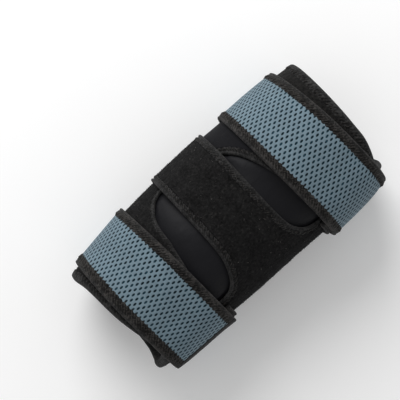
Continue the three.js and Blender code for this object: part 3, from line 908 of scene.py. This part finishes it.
def perforated_tree():
    """Cells with a hole each, in staggered columns, laid over a strap's surface.

    The cloth is cut off its grain: the columns are turned by a small angle from the strap's
    edges. Cells outside the strap are left out, and those on its edges are trimmed there.
    """
    sizes = {"Width": 0.038, "Length": 0.35, "Cell Width": 0.003, "Cell Length": 0.0035}
    g = Growth("Perforated Mesh", {"Cell": "Object", **sizes, "Grain": 0.1})
    width, length = g.given("Width"), g.given("Length")
    wide, long = g.given("Cell Width"), g.given("Cell Length")
    sine, cosine = (g.given("Grain").maths(operation) for operation in ("SINE", "COSINE"))
    reach = sine.maths("ABSOLUTE")
    columns = ((width + reach * length) / wide).maths("CEIL") + 1.0
    rows = ((length + reach * width) / long).maths("CEIL") + 1.0
    grid = g.node(
        "GeometryNodeMeshGrid",
        Size_X=(columns - 1.0) * wide,
        Size_Y=(rows - 1.0) * long,
        Vertices_X=columns,
        Vertices_Y=rows,
    )
    column = ((g.node("GeometryNodeInputIndex") + 0.5) / rows).maths("FLOOR")
    shift = (column.maths("MODULO", 2.0) - 0.5) * long * 0.5
    offset = g.node("ShaderNodeCombineXYZ", Y=shift)
    staggered = g.node("GeometryNodeSetPosition", Geometry=grid, Offset=offset)
    position = g.node("GeometryNodeInputPosition")
    x, y, z = g.parts(position)
    turned_x = x * cosine + y * sine
    turned_y = y * cosine - x * sine
    # How far a cell's middle lies past the strap's edges, beyond half a cell
    outside_x = turned_x.maths("ABSOLUTE") - (width * 0.5 + wide * 0.55)
    outside_y = turned_y.maths("ABSOLUTE") - (length * 0.5 + long * 0.55)
    spare = outside_x.maths("MAXIMUM", outside_y).maths("GREATER_THAN", 0.0)
    kept_cells = g.node(
        "GeometryNodeDeleteGeometry", {"domain": "POINT"}, Geometry=staggered, Selection=spare
    )
    cell = g.node("GeometryNodeObjectInfo", output="Geometry", Object=g.given("Cell"))
    laid = g.node("GeometryNodeInstanceOnPoints", Points=kept_cells, Instance=cell)
    real = g.node("GeometryNodeRealizeInstances", Geometry=laid)
    joined = g.node("GeometryNodeMergeByDistance", Geometry=real, Distance=0.00002)
    across, along = (
        (turned / size + 0.5).between(0.0005, 0.9995)
        for turned, size in ((turned_x, width), (turned_y, length))
    )
    sample = g.node("ShaderNodeCombineXYZ", X=across, Y=along)
    there, facing = (
        g.node(
            "GeometryNodeSampleUVSurface",
            {"data_type": "FLOAT_VECTOR"},
            Mesh=g.given("Geometry"),
            Value=value,
            UV_Map=g.named("cloth"),
            Sample_UV=sample,
        )
        for value in (position, g.node("GeometryNodeInputNormal"))
    )
    floor = (-9, -9, 0)  # keeps heights above 0 and leaves the other places free
    above = g.vector("MAXIMUM", g.vector("ADD", there, g.scaled(facing, z)), floor)
    mapped = g.node(
        "GeometryNodeStoreNamedAttribute",
        {"data_type": "FLOAT2", "domain": "CORNER"},
        Geometry=joined,
        Name="cloth",
        Value=g.node("ShaderNodeCombineXYZ", X=x, Y=y),
    )
    moved = g.node("GeometryNodeSetPosition", Geometry=mapped, Position=above)
    trimmed = g.node("GeometryNodeMergeByDistance", Geometry=moved, Distance=0.00001)
    return g.end(g.node("GeometryNodeSetShadeSmooth", Geometry=trimmed))


def fibre_tree():
    """Short leaning fibres strewn over cloth"""
    sizes = {"Density": 400000.0, "Fibre Length": 0.0008, "Fibre Thickness": 0.0001}
    g = Growth("Fibres", {**sizes, "Lean": 1.0, "Seed": 3})
    seed = g.given("Seed")
    points = g.node(
        "GeometryNodeDistributePointsOnFaces",
        Mesh=g.given("Geometry"),
        Selection=g.named("outer", "FLOAT"),
        Density=g.given("Density"),
        Seed=seed,
    )
    random = "FunctionNodeRandomValue"
    low, high = (-1, -1, -3.1), (1, 1, 3.1)  # to lean by and to turn by, in radians
    way = g.node(random, {"data_type": "FLOAT_VECTOR"}, Min=low, Max=high, Seed=seed)
    turned = g.node(
        "FunctionNodeRotateRotation",
        {"rotation_space": "LOCAL"},
        Rotation=g.other(points, "Rotation"),
        Rotate_By=g.node("FunctionNodeEulerToRotation", Euler=g.scaled(way, g.given("Lean"))),
    )
    fibre = g.node(
        "GeometryNodeMeshCone", Vertices=3, Radius_Top=0.25, Radius_Bottom=0.5, Depth=1.0
    )
    size = g.node(random, {"data_type": "FLOAT"}, output=1, _2=0.5, _3=1.3, Seed=seed + 1.0)
    thick = g.given("Fibre Thickness")
    return g.laid(points, fibre, turned, (thick, thick, g.given("Fibre Length") * size))


def seam_mesh(name, lines):
    """Seam lines of (along, degrees, lift, joined) with the way out of the cloth at each point"""
    points, ways, edges = [], [], []
    for along, angle, lift, joined in lines:
        here = part_points(along, angle, lift)
        first, count = sum(len(p) for p in points), len(here)
        edges += [(first + i, first + i + 1) for i in range(count - 1)]
        if joined:
            edges.append((first + count - 1, first))
        points.append(here)
        ways.append(part_points(along, angle, lift + 1.0) - here)
    way = np.concatenate(ways)
    way /= np.maximum(np.linalg.norm(way, axis=1), 1e-9)[:, None]
    mesh = bpy.data.meshes.new(name)
    mesh.from_pydata(np.concatenate(points).tolist(), edges, [])
    layer = mesh.attributes.new("outward", "FLOAT_VECTOR", "POINT")
    layer.data.foreach_set("vector", way.astype(np.float32).ravel())
    return mesh


def length(name, description, value):
    """A size whose default is given in millimetres"""
    return bpy.props.FloatProperty(
        name=name, description=description, default=value * MM, min=0.0, unit="LENGTH"
    )


def colour(name, description, value):
    return bpy.props.FloatVectorProperty(
        name=name, description=description, default=value, min=0.0, max=1.0, subtype="COLOR"
    )


class BraceClothSettings(bpy.types.PropertyGroup):
    bulge: length("Window bulge", "How far the sleeve swells in the windows", 1.7)
    crease: length("Crease depth", "Depth of the soft creases in the sleeve", 0.5)
    pile_depth: length("Pile depth", "Unevenness of the brushed pile", 0.25)
    fibre_length: length("Fibre length", "Length of the pile's loose fibres", 0.65)
    fibre_thickness: length("Fibre thickness", "Thickness of the pile's fibres", 0.13)
    fluff_length: length("Fluff length", "Length of the pale fluff caught in the pile", 0.9)


class BraceStrapSettings(bpy.types.PropertyGroup):
    layer: length("Mesh thickness", "Thickness of the perforated layer", 0.26)
    hole_across: length("Hole width", "Size of a hole across the strap", 2.55)
    hole_along: length("Hole length", "Size of a hole along the strap", 1.28)
    hole_pitch: length("Hole pitch", "Distance between holes along the strap", 3.55)
    column_pitch: length("Column pitch", "Distance between columns of holes", 3.02)


class BraceStitchSettings(bpy.types.PropertyGroup):
    pitch: length("Stitch pitch", "Distance between stitches", 3.3)
    thread: length("Thread thickness", "Thickness of the sewing thread", 0.62)
    stitch: length("Stitch length", "Length of one stitch", 2.3)
    scallop: length("Scallop", "How far the stitches pull in a binding's inner edge", 0.22)
    pucker: length("Pucker", "Height of the small waves along a binding", 0.16)


class BraceColourSettings(bpy.types.PropertyGroup):
    cloth: colour("Smooth cloth", "Sleeve and upper wing", (0.006, 0.006, 0.0076))
    bloom: colour("Bloom", "Sheen of the black cloth", (0.55, 0.57, 0.62))
    pile: colour("Pile", "Brushed loops", (0.0102, 0.01, 0.0101))
    fluff: colour("Fluff", "Pale fluff on the pile", (0.2, 0.19, 0.18))
    binding: colour("Binding", "Tape round the edges", (0.0182, 0.017, 0.016))
    edging: colour("Edging", "Stitched edges of the panels", (0.014, 0.0137, 0.0136))
    thread: colour("Thread", "Sewing thread", (0.034, 0.031, 0.029))
    mesh: colour("Mesh", "Perforated strap cloth", (0.162, 0.232, 0.277))
    backing: colour("Backing", "Cloth behind the mesh", (0.006, 0.021, 0.031))
    tape: colour("Grip tape", "Hook tape at the ends", (0.014, 0.014, 0.015))
    floor: colour("Floor", "Surface under the brace", (0.97, 0.97, 0.97))


def settings():
    scene = bpy.context.scene
    return scene.brace_cloth, scene.brace_strap, scene.brace_stitch, scene.brace_colours


def fold_noise(x, angle, size, seed=0.0):
    """Smooth unevenness between -1 and 1 whose grain is a size in millimetres"""
    places = form_points(x, angle, 0.0) / size
    values = [noise.noise(Vector((px + seed, py, pz))) for px, py, pz in places.reshape(-1, 3)]
    return np.array(values).reshape(places.shape[:-1])


# The windows between wing and panel: their first and last angles, and how the swelling of
# the sleeve changes past the first: from how far, up to how far and by what share
WINDOWS = (
    (LOWER_WING_LINE, LOWER_PANEL_LINE, 32.7, 139.0, [(0, 10, 1.0)]),
    (UPPER_WING_LINE, UPPER_PANEL_LINE, 49.7, 146.0, [(0, 8, 1.0), (5, 45, -1.8), (50, 90, 1.2)]),
)


def window_share(x, angle):
    """How far the sleeve swells or sinks at a place in a window, as a share of the swelling"""
    total = np.zeros(np.broadcast(x, angle).shape)
    for wing, panel, first, last, changes in WINDOWS:
        near, far = line_at(wing, angle), line_at(panel, angle)
        share = np.clip((x - near) / np.where(np.abs(far - near) > 0.5, far - near, 1e9), 0, 1)
        inside = (angle > first) & (angle < last)
        swell = sum(by * smooth_step(first + a, first + b, angle) for a, b, by in changes)
        total += np.where(inside, swell * np.sin(math.pi * share) ** 0.75, 0.0)
    return np.clip(total, -1, 1)


def pucker(stitch):
    """Waves that stitches pull along a strip: in its inner edge and in its height"""

    def wave(far, across, rise):
        turn = math.tau * MM / stitch.pitch
        phase = np.sin(far * turn + across * 1.4)
        side = stitch.scallop / MM * phase * smooth_step(0.75, 1.0, across) * rise
        up = stitch.pucker / MM * phase * np.clip(rise, 0, 1) * smooth_step(0.15, 0.55, across)
        return side, up

    return wave


class BRACE_OT_sleeve(bpy.types.Operator):
    """Makes the foam-cloth sleeve that shows through both windows"""

    bl_idname = "brace.sleeve"
    bl_label = "Sleeve"

    def execute(self, context):
        cloth, _, _, colours = settings()
        angles = ring(1.5)

        def relief(x, angle):
            share = window_share(x, angle)
            creases = fold_noise(x, angle, size=11.0) * cloth.crease / MM
            return share * cloth.bulge / MM + np.abs(share) * creases

        sweep(
            "sleeve_cloth",
            "sleeve_cloth",
            "sleeve",
            finish_named("sleeve_cloth", smooth_cloth, colours, roughness=0.5, sheen=0.03),
            sides(angles, inside_lower_end(angles) - TUCK, inside_upper_end(angles) + TUCK),
            (0.0, SLEEVE_WALL),
            slab_section(columns=72, rounding=0.2),
            joined=True,
            relief=relief,
        )
        return {"FINISHED"}


class BRACE_OT_end_bindings(bpy.types.Operator):
    """Makes the folded tape round the two open ends"""

    bl_idname = "brace.end_bindings"
    bl_label = "End Bindings"

    def execute(self, context):
        _, _, stitch, colours = settings()
        outline = section(
            [
                (0, 1.6, 0, 0.1), (0, 0.5, 0.14, 0), (0, 0.0, 0.5, 0), (0, 0.5, 0.86, 0),
                (0, 1.7, 1.0, -0.05), (0.5, 0.2, 1.0, 0.1), (1, -1.5, 1.0, -0.05),
                (1, -0.5, 1.0, -0.45), (1, 0.15, 0.83, 0), (1, 0.0, 0.5, 0),
                (1, 0.1, 0.13, 0), (1, -0.6, 0, 0.1), (0.5, 0, 0, 0),
            ]
        )
        material = finish_named("end_binding", woven_tape, colours.edging, rib=2.6)
        angles = ring(0.5)
        for name, edge, width in (
            ("lower", lower_end(angles), END_TAPE_WIDTH),
            ("upper", upper_end(angles), -END_TAPE_WIDTH),
        ):
            sweep(
                f"{name}_end_tape",
                "edge_binding",
                f"{name}_end_binding",
                material,
                sides(angles, edge, edge + width),
                (-END_BINDING_LIP, WING_TOP),
                outline,
                joined=True,
                ripple=pucker(stitch),
            )
        return {"FINISHED"}


def mark_outer(piece):
    """Marks a sheet's outer faces, where pile grows"""
    mesh = piece.data
    marks = mesh.attributes.new("outer", "FLOAT", "FACE")
    ways = [face.normal.dot(outwards(face.center).normalized()) for face in mesh.polygons]
    marks.data.foreach_set("value", [1.0 if way > 0.5 else 0.0 for way in ways])


def panel_sides(angles):
    """The pile panel's sides, which reach the brace's ends past the windows"""
    edges = []
    for sheet, seam, end, tuck in (
        (LOWER_PANEL_SHEET, LOWER_SEAM, inside_lower_end, -TUCK),
        (UPPER_PANEL_SHEET, UPPER_SEAM, inside_upper_end, TUCK),
    ):
        edge = line_at(sheet, angles) + tuck
        past = smooth_step(seam - SEAM_GAP, seam + SEAM_GAP, angles)
        edges.append(edge + (end(angles) + tuck - edge) * past)
    return sides(angles, *edges)


class BRACE_OT_front_panel(bpy.types.Operator):
    """Makes the brushed pile panel with its tongue across the middle"""

    bl_idname = "brace.front_panel"
    bl_label = "Front Panel"

    def execute(self, context):
        cloth, _, _, colours = settings()
        seams = [s + SEAM_GAP * t for s in (LOWER_SEAM, UPPER_SEAM) for t in np.linspace(-1, 1, 9)]
        steps = np.arange(TONGUE_END, BACK_SEAM - SEAM_GAP, 1.2)
        angles = np.unique(np.concatenate([steps, seams]))

        def relief(x, angle):
            fine = fold_noise(x, angle, size=2.6, seed=4.0)
            broad = fold_noise(x, angle, size=7.0, seed=9.0)
            return (fine + 0.6 * broad) * cloth.pile_depth / MM

        piece = sweep(
            "front_panel_cloth",
            "pile_cloth",
            "front_panel",
            finish_named("pile_cloth", pile_cloth, colours),
            panel_sides(angles),
            rounded_ends(angles, *panel_lifts(angles), reach=1.0),
            slab_section(columns=64, rounding=0.6),
            relief=relief,
        )
        mark_outer(piece)
        return {"FINISHED"}


class BRACE_OT_wings(bpy.types.Operator):
    """Makes the two wings of the +Y side: the lower one brushed, the upper one smooth"""

    bl_idname = "brace.wings"
    bl_label = "Wings"

    def execute(self, context):
        cloth, _, _, colours = settings()

        def make(name, seam, edges, slot, material, relief):
            angles = np.linspace(BACK_SEAM - FULL_TURN + SEAM_GAP, seam - SEAM_GAP, WING_STEPS)
            return sweep(
                f"{name}_wing_cloth",
                slot,
                f"{name}_wing",
                material,
                sides(angles, *edges(angles)),
                rounded_ends(angles, *wing_lifts(angles), reach=0.8),
                slab_section(columns=40, rounding=0.4),
                relief=relief,
            )

        piece = make(
            "lower",
            LOWER_SEAM,
            lambda a: (inside_lower_end(a) - TUCK, line_at(LOWER_WING_SHEET, a) + TUCK),
            "pile_cloth",
            finish_named("pile_cloth", pile_cloth, colours),
            lambda x, angle: fold_noise(x, angle, size=2.4, seed=2.0) * cloth.pile_depth / MM,
        )
        mark_outer(piece)
        # Past X = 0.074 m the upper wing is brushed nap, its dark ground partly painted shade of
        # the valley between the strap's tape and the end tape
        looks = {"roughness": 0.8, "sheen": 0.012, "brushed_from": 0.074}
        make(
            "upper",
            UPPER_SEAM,
            lambda a: (line_at(UPPER_WING_SHEET, a) - TUCK, inside_upper_end(a) + TUCK),
            "smooth_cloth",
            finish_named("wing_cloth", smooth_cloth, colours, **looks),
            lambda x, angle: fold_noise(x, angle, size=14.0, seed=6.0) * WING_WAVES,
        )
        return {"FINISHED"}


EDGINGS = {
    "lower_panel": (LOWER_PANEL_LINE, PANEL_EDGING_WIDTH, -1, panel_lifts),
    "upper_panel": (UPPER_PANEL_LINE, PANEL_EDGING_WIDTH, 1, panel_lifts),
    "lower_wing": (LOWER_WING_LINE, LOWER_WING_EDGING_WIDTH, 1, wing_lifts),
    "upper_wing": (UPPER_WING_LINE, UPPER_WING_EDGING_WIDTH, -1, wing_lifts),
}


class BRACE_OT_edgings(bpy.types.Operator):
    """Makes the stitched edges of the tongue and the wings, each with a small roll"""

    bl_idname = "brace.edgings"
    bl_label = "Edgings"

    def execute(self, context):
        _, _, stitch, colours = settings()
        wide = section(
            [
                (0, 0.5, 0, 0), (0, 0.05, 0.35, 0), (0, 0.0, 0.75, 0), (0, 0.4, 1.0, 0.1),
                (0, 1.0, 1.0, 0.36), (0, 1.6, 1.0, 0.1), (0, 2.1, 1.0, -0.4),
                (0, 2.8, 1.0, -0.05), (1, -1.6, 1.0, 0.2), (1, -0.7, 1.0, 0.12),
                (1, 0.1, 1.0, -0.3), (1, 0.3, 0.5, 0), (1, 0.0, 0, 0), (0.5, 0, 0, 0),
            ]
        )
        narrow = section(
            [
                (0, 0.5, 0, 0), (0, 0.0, 0.5, 0), (0, 0.35, 1.0, 0.0), (0, 1.0, 1.0, 0.22),
                (0, 1.7, 1.0, 0.05), (1, -0.8, 1.0, 0.02), (1, 0.1, 1.0, -0.25),
                (1, 0.2, 0.5, 0), (1, 0.0, 0, 0), (0.5, 0, 0, 0),
            ]
        )
        weave = {"rib": 1.9, "sheen": 0.05, "row": 3.6}
        material = finish_named("stitched_edging", woven_tape, colours.edging, **weave)
        for name, (line, width, side, lifts) in EDGINGS.items():
            line = spaced(line, 0.55)
            angle = line[:, 1] / MM_PER_DEGREE
            sweep(
                f"{name}_trim",
                "stitched_edging",
                f"{name}_edging",
                material,
                [edge / (1, MM_PER_DEGREE) for edge in (line, move_line(line, width, side))],
                rounded_ends(angle, *lifts(angle), reach=0.8),
                wide if width > WIDE_EDGING else narrow,
                ripple=pucker(stitch),
            )
        return {"FINISHED"}


def hole_cell(strap):
    """One cell of the mesh cloth: a block with a rounded lens-shaped hole through it"""
    top = strap.layer
    rim = [(-0.5, -0.5), (-0.5, -0.25), (-0.5, 0.0), (-0.5, 0.25), (-0.5, 0.5), (0.0, 0.5)]
    rim = np.array(rim + [(-x, -y) for x, y in rim]) * (strap.column_pitch, strap.hole_pitch)
    turns = np.radians([215, 203, 180, 157, 145, 90, 35, 23, 0, -23, -35, -90])
    round_count = len(turns)

    def lens(grow):
        a, b = strap.hole_across / 2 + grow, strap.hole_along / 2 + grow
        x, y = np.cos(turns), np.sin(turns)
        reach = (np.abs(x / a) ** 1.7 + np.abs(y / b) ** 1.7) ** (-1 / 1.7)
        return np.stack([x * reach, y * reach], axis=1)

    # Each ring's outline, height and darkness: the hole's inner rim and walls are painted the
    # backing's dark colour as painted shade
    rings = [
        (rim, top - 0.06 * MM, 0.0),
        (lens(0.2 * MM), top, 0.0),
        (lens(0.02 * MM), top - 0.08 * MM, 1.0),
        (lens(0.0), 0.0, 1.0),
        (rim, 0.0, 1.0),
    ]
    points = [(x, y, z) for outline, z, _ in rings for x, y in outline]
    faces = []
    for first in range(0, (len(rings) - 1) * round_count, round_count):
        for j in range(round_count):
            here, there = first + j, first + (j + 1) % round_count
            faces.append((here, here + round_count, there + round_count, there))
    mesh = bpy.data.meshes.new("mesh_cell")
    mesh.from_pydata(points, [], faces)
    shade = mesh.attributes.new("hole", "FLOAT", "POINT")
    shade.data.foreach_set("value", [dark for *_, dark in rings for _ in range(round_count)])
    mesh.update()
    if mesh.polygons[0].normal.z < 0:
        mesh.flip_normals()
    return make_object("mesh_cell", mesh)


def strap_surface(name, strap, lift):
    """The surface that the mesh cloth lies on, mapped evenly across and along"""
    angles = strap_angles(strap, 1.0)
    low, high = strap_cloth_cut(strap, angles)
    shares = np.linspace(0, 1, 25)
    along = low[:, None] + (high - low)[:, None] * shares
    lifts = (strap_seat(angles) + lift)[:, None]
    far = travelled(form_points(along, angles[:, None], lifts)[:, len(shares) // 2])
    points = part_points(along, angles[:, None], lifts)
    mesh = grid_mesh(f"{name}_strap_surface", points, shares, far / far[-1])
    probe = mesh.polygons[len(mesh.polygons) // 2]
    if probe.normal.dot(outwards(probe.center)) < 0:
        mesh.flip_normals()
    return mesh, np.mean(high - low) * MM, far[-1] * MM


class BRACE_OT_straps(bpy.types.Operator):
    """Makes the two straps: a dark backing under a perforated mesh cloth"""

    bl_idname = "brace.straps"
    bl_label = "Straps"

    def execute(self, context):
        _, sizes, _, colours = settings()
        weave = {"rib": 0.6, "depth": 0.08, "sheen": 0.0}
        backing = finish_named("strap_backing", woven_tape, colours.backing, **weave)
        material = finish_named("strap_mesh", mesh_cloth, colours)
        wall = STRAP_WALL - sizes.layer / MM
        cell = hole_cell(sizes)
        tree = perforated_tree()
        for name, strap in STRAPS.items():
            angles = strap_angles(strap, 1.5)
            seat = strap_seat(angles)
            sweep(
                f"{name}_strap_cloth",
                "strap_mesh",
                f"{name}_strap",
                backing,
                sides(angles, *strap_cloth_cut(strap, angles)),
                rounded_ends(angles, seat, seat + wall, reach=0.8),
                slab_section(columns=16, rounding=0.3),
            )
            surface, width, reach = strap_surface(name, strap, wall - MESH_SINK)
            values = {
                "Cell": cell,
                "Width": width,
                "Length": reach,
                "Cell Width": sizes.column_pitch,
                "Cell Length": sizes.hole_pitch,
                "Grain": math.radians(strap["grain"]),
                "Material": material,
            }
            dress(tree.apply(f"{name}_strap_net", surface, values), "strap_mesh")
        bpy.data.objects.remove(cell)
        return {"FINISHED"}


class BRACE_OT_strap_bindings(bpy.types.Operator):
    """Makes the woven tape folded over the straps' long edges"""

    bl_idname = "brace.strap_bindings"
    bl_label = "Strap Bindings"

    def execute(self, context):
        _, _, stitch, colours = settings()
        outline = section(
            [
                (0, 0.6, 0, 0), (0, 0.1, 0.25, 0), (0, 0.0, 0.55, 0), (0, 0.4, 0.88, 0),
                (0, 1.2, 1.0, 0.02), (0, 1.9, 1.0, -0.3), (0, 2.6, 1.0, -0.02),
                (1, -1.6, 1.0, 0.02), (1, -0.5, 1.0, -0.3), (1, 0.25, 0.8, 0), (1, 0.1, 0.4, 0),
                (1, -0.4, 0, 0), (0.5, 0, 0, 0),
            ]
        )
        material = finish_named("edge_binding", woven_tape, colours.binding)
        for name, strap in STRAPS.items():
            angles = strap_angles(strap, 0.5)
            seat = strap_seat(angles)
            lifts = rounded_ends(angles, seat, seat + BINDING_WALL, reach=1.0)
            low, high = strap_cut(strap, angles)
            low_width, high_width = strap["tapes"]
            edges = ("forearm", low, low_width), ("shoulder", high, -high_width)
            for side, edge, width in edges:
                sweep(
                    f"{name}_strap_{side}_tape",
                    "edge_binding",
                    f"{name}_strap_{side}_binding",
                    material,
                    sides(angles, edge, edge + width),
                    lifts,
                    outline,
                    ripple=pucker(stitch),
                )
        return {"FINISHED"}


class BRACE_OT_grip_tabs(bpy.types.Operator):
    """Makes the grip tabs at the ends of the tongue and of both straps"""

    bl_idname = "brace.grip_tabs"
    bl_label = "Grip Tabs"

    def execute(self, context):
        *_, colours = settings()
        material = finish_named("hook_tape", hook_tape, colours)

        def make(name, node, angles, low, high, lifts):
            lifts = rounded_ends(angles, *lifts, reach=1.4)
            shape = sides(angles, low, high), lifts, slab_section(columns=24, rounding=0.9)
            sweep(name, "hook_tape", node, material, *shape)

        angles = np.linspace(TONGUE_TAB_END, TONGUE_END - SEAM_ANGLE, 30)
        make("tongue_grip", "tongue_end", angles, TONGUE_LOW, TONGUE_HIGH, panel_lifts(angles))
        narrowing, reach = TAB_ROUNDING
        for name, strap in STRAPS.items():
            angles = np.linspace(strap["end"] + SEAM_ANGLE, strap["tab_end"], 40)
            seat = strap_seat(angles)
            low, high = strap_cut(strap, angles)
            from_end = (angles[-1] - angles) * MM_PER_DEGREE
            inset = narrowing * (1 - smooth_step(0, reach, from_end))
            sizes = angles, low + inset, high - inset, (seat, seat + STRAP_WALL)
            make(f"{name}_strap_grip", f"{name}_strap_end", *sizes)
        return {"FINISHED"}


class BRACE_OT_stitching(bpy.types.Operator):
    """Sews the bindings and edgings with slanting threads"""

    bl_idname = "brace.stitching"
    bl_label = "Stitching"

    def execute(self, context):
        _, _, stitch, colours = settings()
        tree = stitch_tree()
        material = finish_named("sewing_thread", spun_thread, colours.thread)

        def sew(name, slot, lines, lean, zigzag=0.0, size=1.0):
            values = {
                "Pitch": stitch.pitch,
                "Thread Length": stitch.stitch * size,
                "Thread Thickness": stitch.thread * size,
                "Lean": lean,
                "Zigzag": zigzag,
                "Material": material,
            }
            dress(tree.apply(name, seam_mesh(f"{name}_lines", lines), values), slot)

        angles = ring(1.0)
        lift = WING_TOP + TAPE_THREAD_LIFT + 0 * angles
        ends = lower_end(angles) + END_SEAM, upper_end(angles) - END_SEAM
        rows = [(edge, angles, lift, True) for edge in ends]
        sew("end_tape_stitches", "edge_binding", rows, lean=0.75)
        rows = []
        for strap in STRAPS.values():
            angles = strap_angles(strap, 1.0)
            lift = strap_seat(angles) + BINDING_WALL + TAPE_THREAD_LIFT
            for edge in strap_cut(strap, angles, STRAP_SEAM, STRAP_SEAM):
                rows.append((edge, angles, lift, False))
        sew("strap_tape_stitches", "edge_binding", rows, lean=0.8)
        rows = []
        for line, width, side, lifts in EDGINGS.values():
            if width > WIDE_EDGING:
                seam = move_line(line, EDGING_SEAM, side)
                angle = seam[:, 1] / MM_PER_DEGREE
                rows.append((seam[:, 0], angle, lifts(angle)[1] + EDGING_THREAD_LIFT, False))
        sew("edging_stitches", "stitched_edging", rows, lean=0.9, zigzag=1.0, size=0.9)
        return {"FINISHED"}


class BRACE_OT_pile(bpy.types.Operator):
    """Grows loose fibres on the brushed cloth, with a little pale fluff among them"""

    bl_idname = "brace.pile"
    bl_label = "Pile"

    def execute(self, context):
        cloth, _, _, colours = settings()
        tree = fibre_tree()
        fibre = finish_named("pile_fibre", spun_thread, colours.pile, share=1.6)
        fluff = finish_named("pile_fluff", spun_thread, colours.fluff)
        thickness = cloth.fibre_thickness
        kinds = {
            "fibres": (420000.0, cloth.fibre_length, thickness, 0.9, fibre),
            "fluff": (9000.0, cloth.fluff_length, thickness * 1.3, 1.6, fluff),
        }
        labels = ("Density", "Fibre Length", "Fibre Thickness", "Lean", "Material")
        for name, seed in (("front_panel", 3), ("lower_wing", 7)):
            base = bpy.data.objects[f"{name}_cloth"].data
            for kind, details in kinds.items():
                values = {**dict(zip(labels, details)), "Seed": seed}
                dress(tree.apply(f"{name}_{kind}", base.copy(), values), "pile_cloth")
        return {"FINISHED"}


class BRACE_OT_cuts(bpy.types.Operator):
    """Changes nothing: no cloth piece gets a flat size here"""

    bl_idname = "brace.cuts"
    bl_label = "Flat Cuts"

    def execute(self, context):
        return {"FINISHED"}


class BRACE_OT_stage(bpy.types.Operator):
    """Makes the pale floor, the soft light from above and all round, and the camera"""

    bl_idname = "brace.stage"
    bl_label = "Stage"

    def execute(self, context):
        scene = context.scene
        *_, colours = settings()
        floor = bpy.data.meshes.new("floor")
        signs = ((-1, -1), (1, -1), (1, 1), (-1, 1))
        corners = [(x * FLOOR_HALF, y * FLOOR_HALF, FLOOR_LEVEL) for x, y in signs]
        floor.from_pydata(corners, [], [(0, 1, 2, 3)])
        make_object("floor", floor, finish_named("floor", floor_finish, colours.floor))
        world = bpy.data.worlds.new("studio")
        world.use_nodes = True
        background = world.node_tree.nodes["Background"]
        background.inputs["Color"].default_value = (1.0, 1.0, 1.0, 1.0)
        background.inputs["Strength"].default_value = SKY_STRENGTH
        scene.world = world

        turn = math.radians(VIEW_TURN)
        right = Vector((math.cos(turn), -math.sin(turn), 0))
        upward = Vector((math.sin(turn), math.cos(turn), 0))
        target = Vector(VIEW_TARGET) * MM
        back = Vector([math.tan(math.radians(a)) for a in VIEW_LEAN] + [1.0]).normalized()
        side = upward.cross(back).normalized()
        turned = Matrix((side, back.cross(side), back)).transposed().to_4x4()
        camera = bpy.data.cameras.new("camera")
        camera.sensor_width = VIEW_SENSOR
        camera.lens = VIEW_LENS
        seat = bpy.data.objects.new("camera", camera)
        scene.collection.objects.link(seat)
        seat.matrix_world = Matrix.Translation(target + back * VIEW_DISTANCE) @ turned
        scene.camera = seat

        light = bpy.data.lights.new("key_light", "AREA")
        light.shape = "DISK"
        light.size = KEY_SIZE
        light.energy = KEY_POWER
        lamp = bpy.data.objects.new("key_light", light)
        scene.collection.objects.link(lamp)
        key_right, key_up, key_height = KEY_PLACE
        lamp.location = target + right * key_right + upward * key_up + Vector((0, 0, key_height))
        lamp.rotation_euler = (target - lamp.location).to_track_quat("-Z", "Y").to_euler()
        scene.view_settings.view_transform = "Standard"
        return {"FINISHED"}


STEPS = (
    BRACE_OT_stage,
    BRACE_OT_sleeve,
    BRACE_OT_end_bindings,
    BRACE_OT_front_panel,
    BRACE_OT_wings,
    BRACE_OT_edgings,
    BRACE_OT_straps,
    BRACE_OT_strap_bindings,
    BRACE_OT_grip_tabs,
    BRACE_OT_stitching,
    BRACE_OT_pile,
    BRACE_OT_cuts,
)

GROUPS = {
    "brace_cloth": BraceClothSettings,
    "brace_strap": BraceStrapSettings,
    "brace_stitch": BraceStitchSettings,
    "brace_colours": BraceColourSettings,
}


class BRACE_PT_sidebar(bpy.types.Panel):
    """Lists the brace's sizes, colours and steps"""

    bl_idname = "BRACE_PT_sidebar"
    bl_label = "Elbow Brace"
    bl_space_type = "VIEW_3D"
    bl_region_type = "UI"
    bl_category = "Brace"

    def draw(self, context):
        for key, group in GROUPS.items():
            box = self.layout.box()
            for name in group.__annotations__:
                box.prop(getattr(context.scene, key), name)
        for step in STEPS:
            self.layout.operator(step.bl_idname)


CLASSES = (*GROUPS.values(), *STEPS, BRACE_PT_sidebar)


def register():
    for item in CLASSES:
        bpy.utils.register_class(item)
    for key, group in GROUPS.items():
        setattr(bpy.types.Scene, key, bpy.props.PointerProperty(type=group))


def unregister():
    for key in GROUPS:
        delattr(bpy.types.Scene, key)
    for item in reversed(CLASSES):
        bpy.utils.unregister_class(item)


def main():
    register()
    for step in STEPS:
        group, name = step.bl_idname.split(".")
        getattr(getattr(bpy.ops, group), name)()


if __name__ == "__main__":
    main()
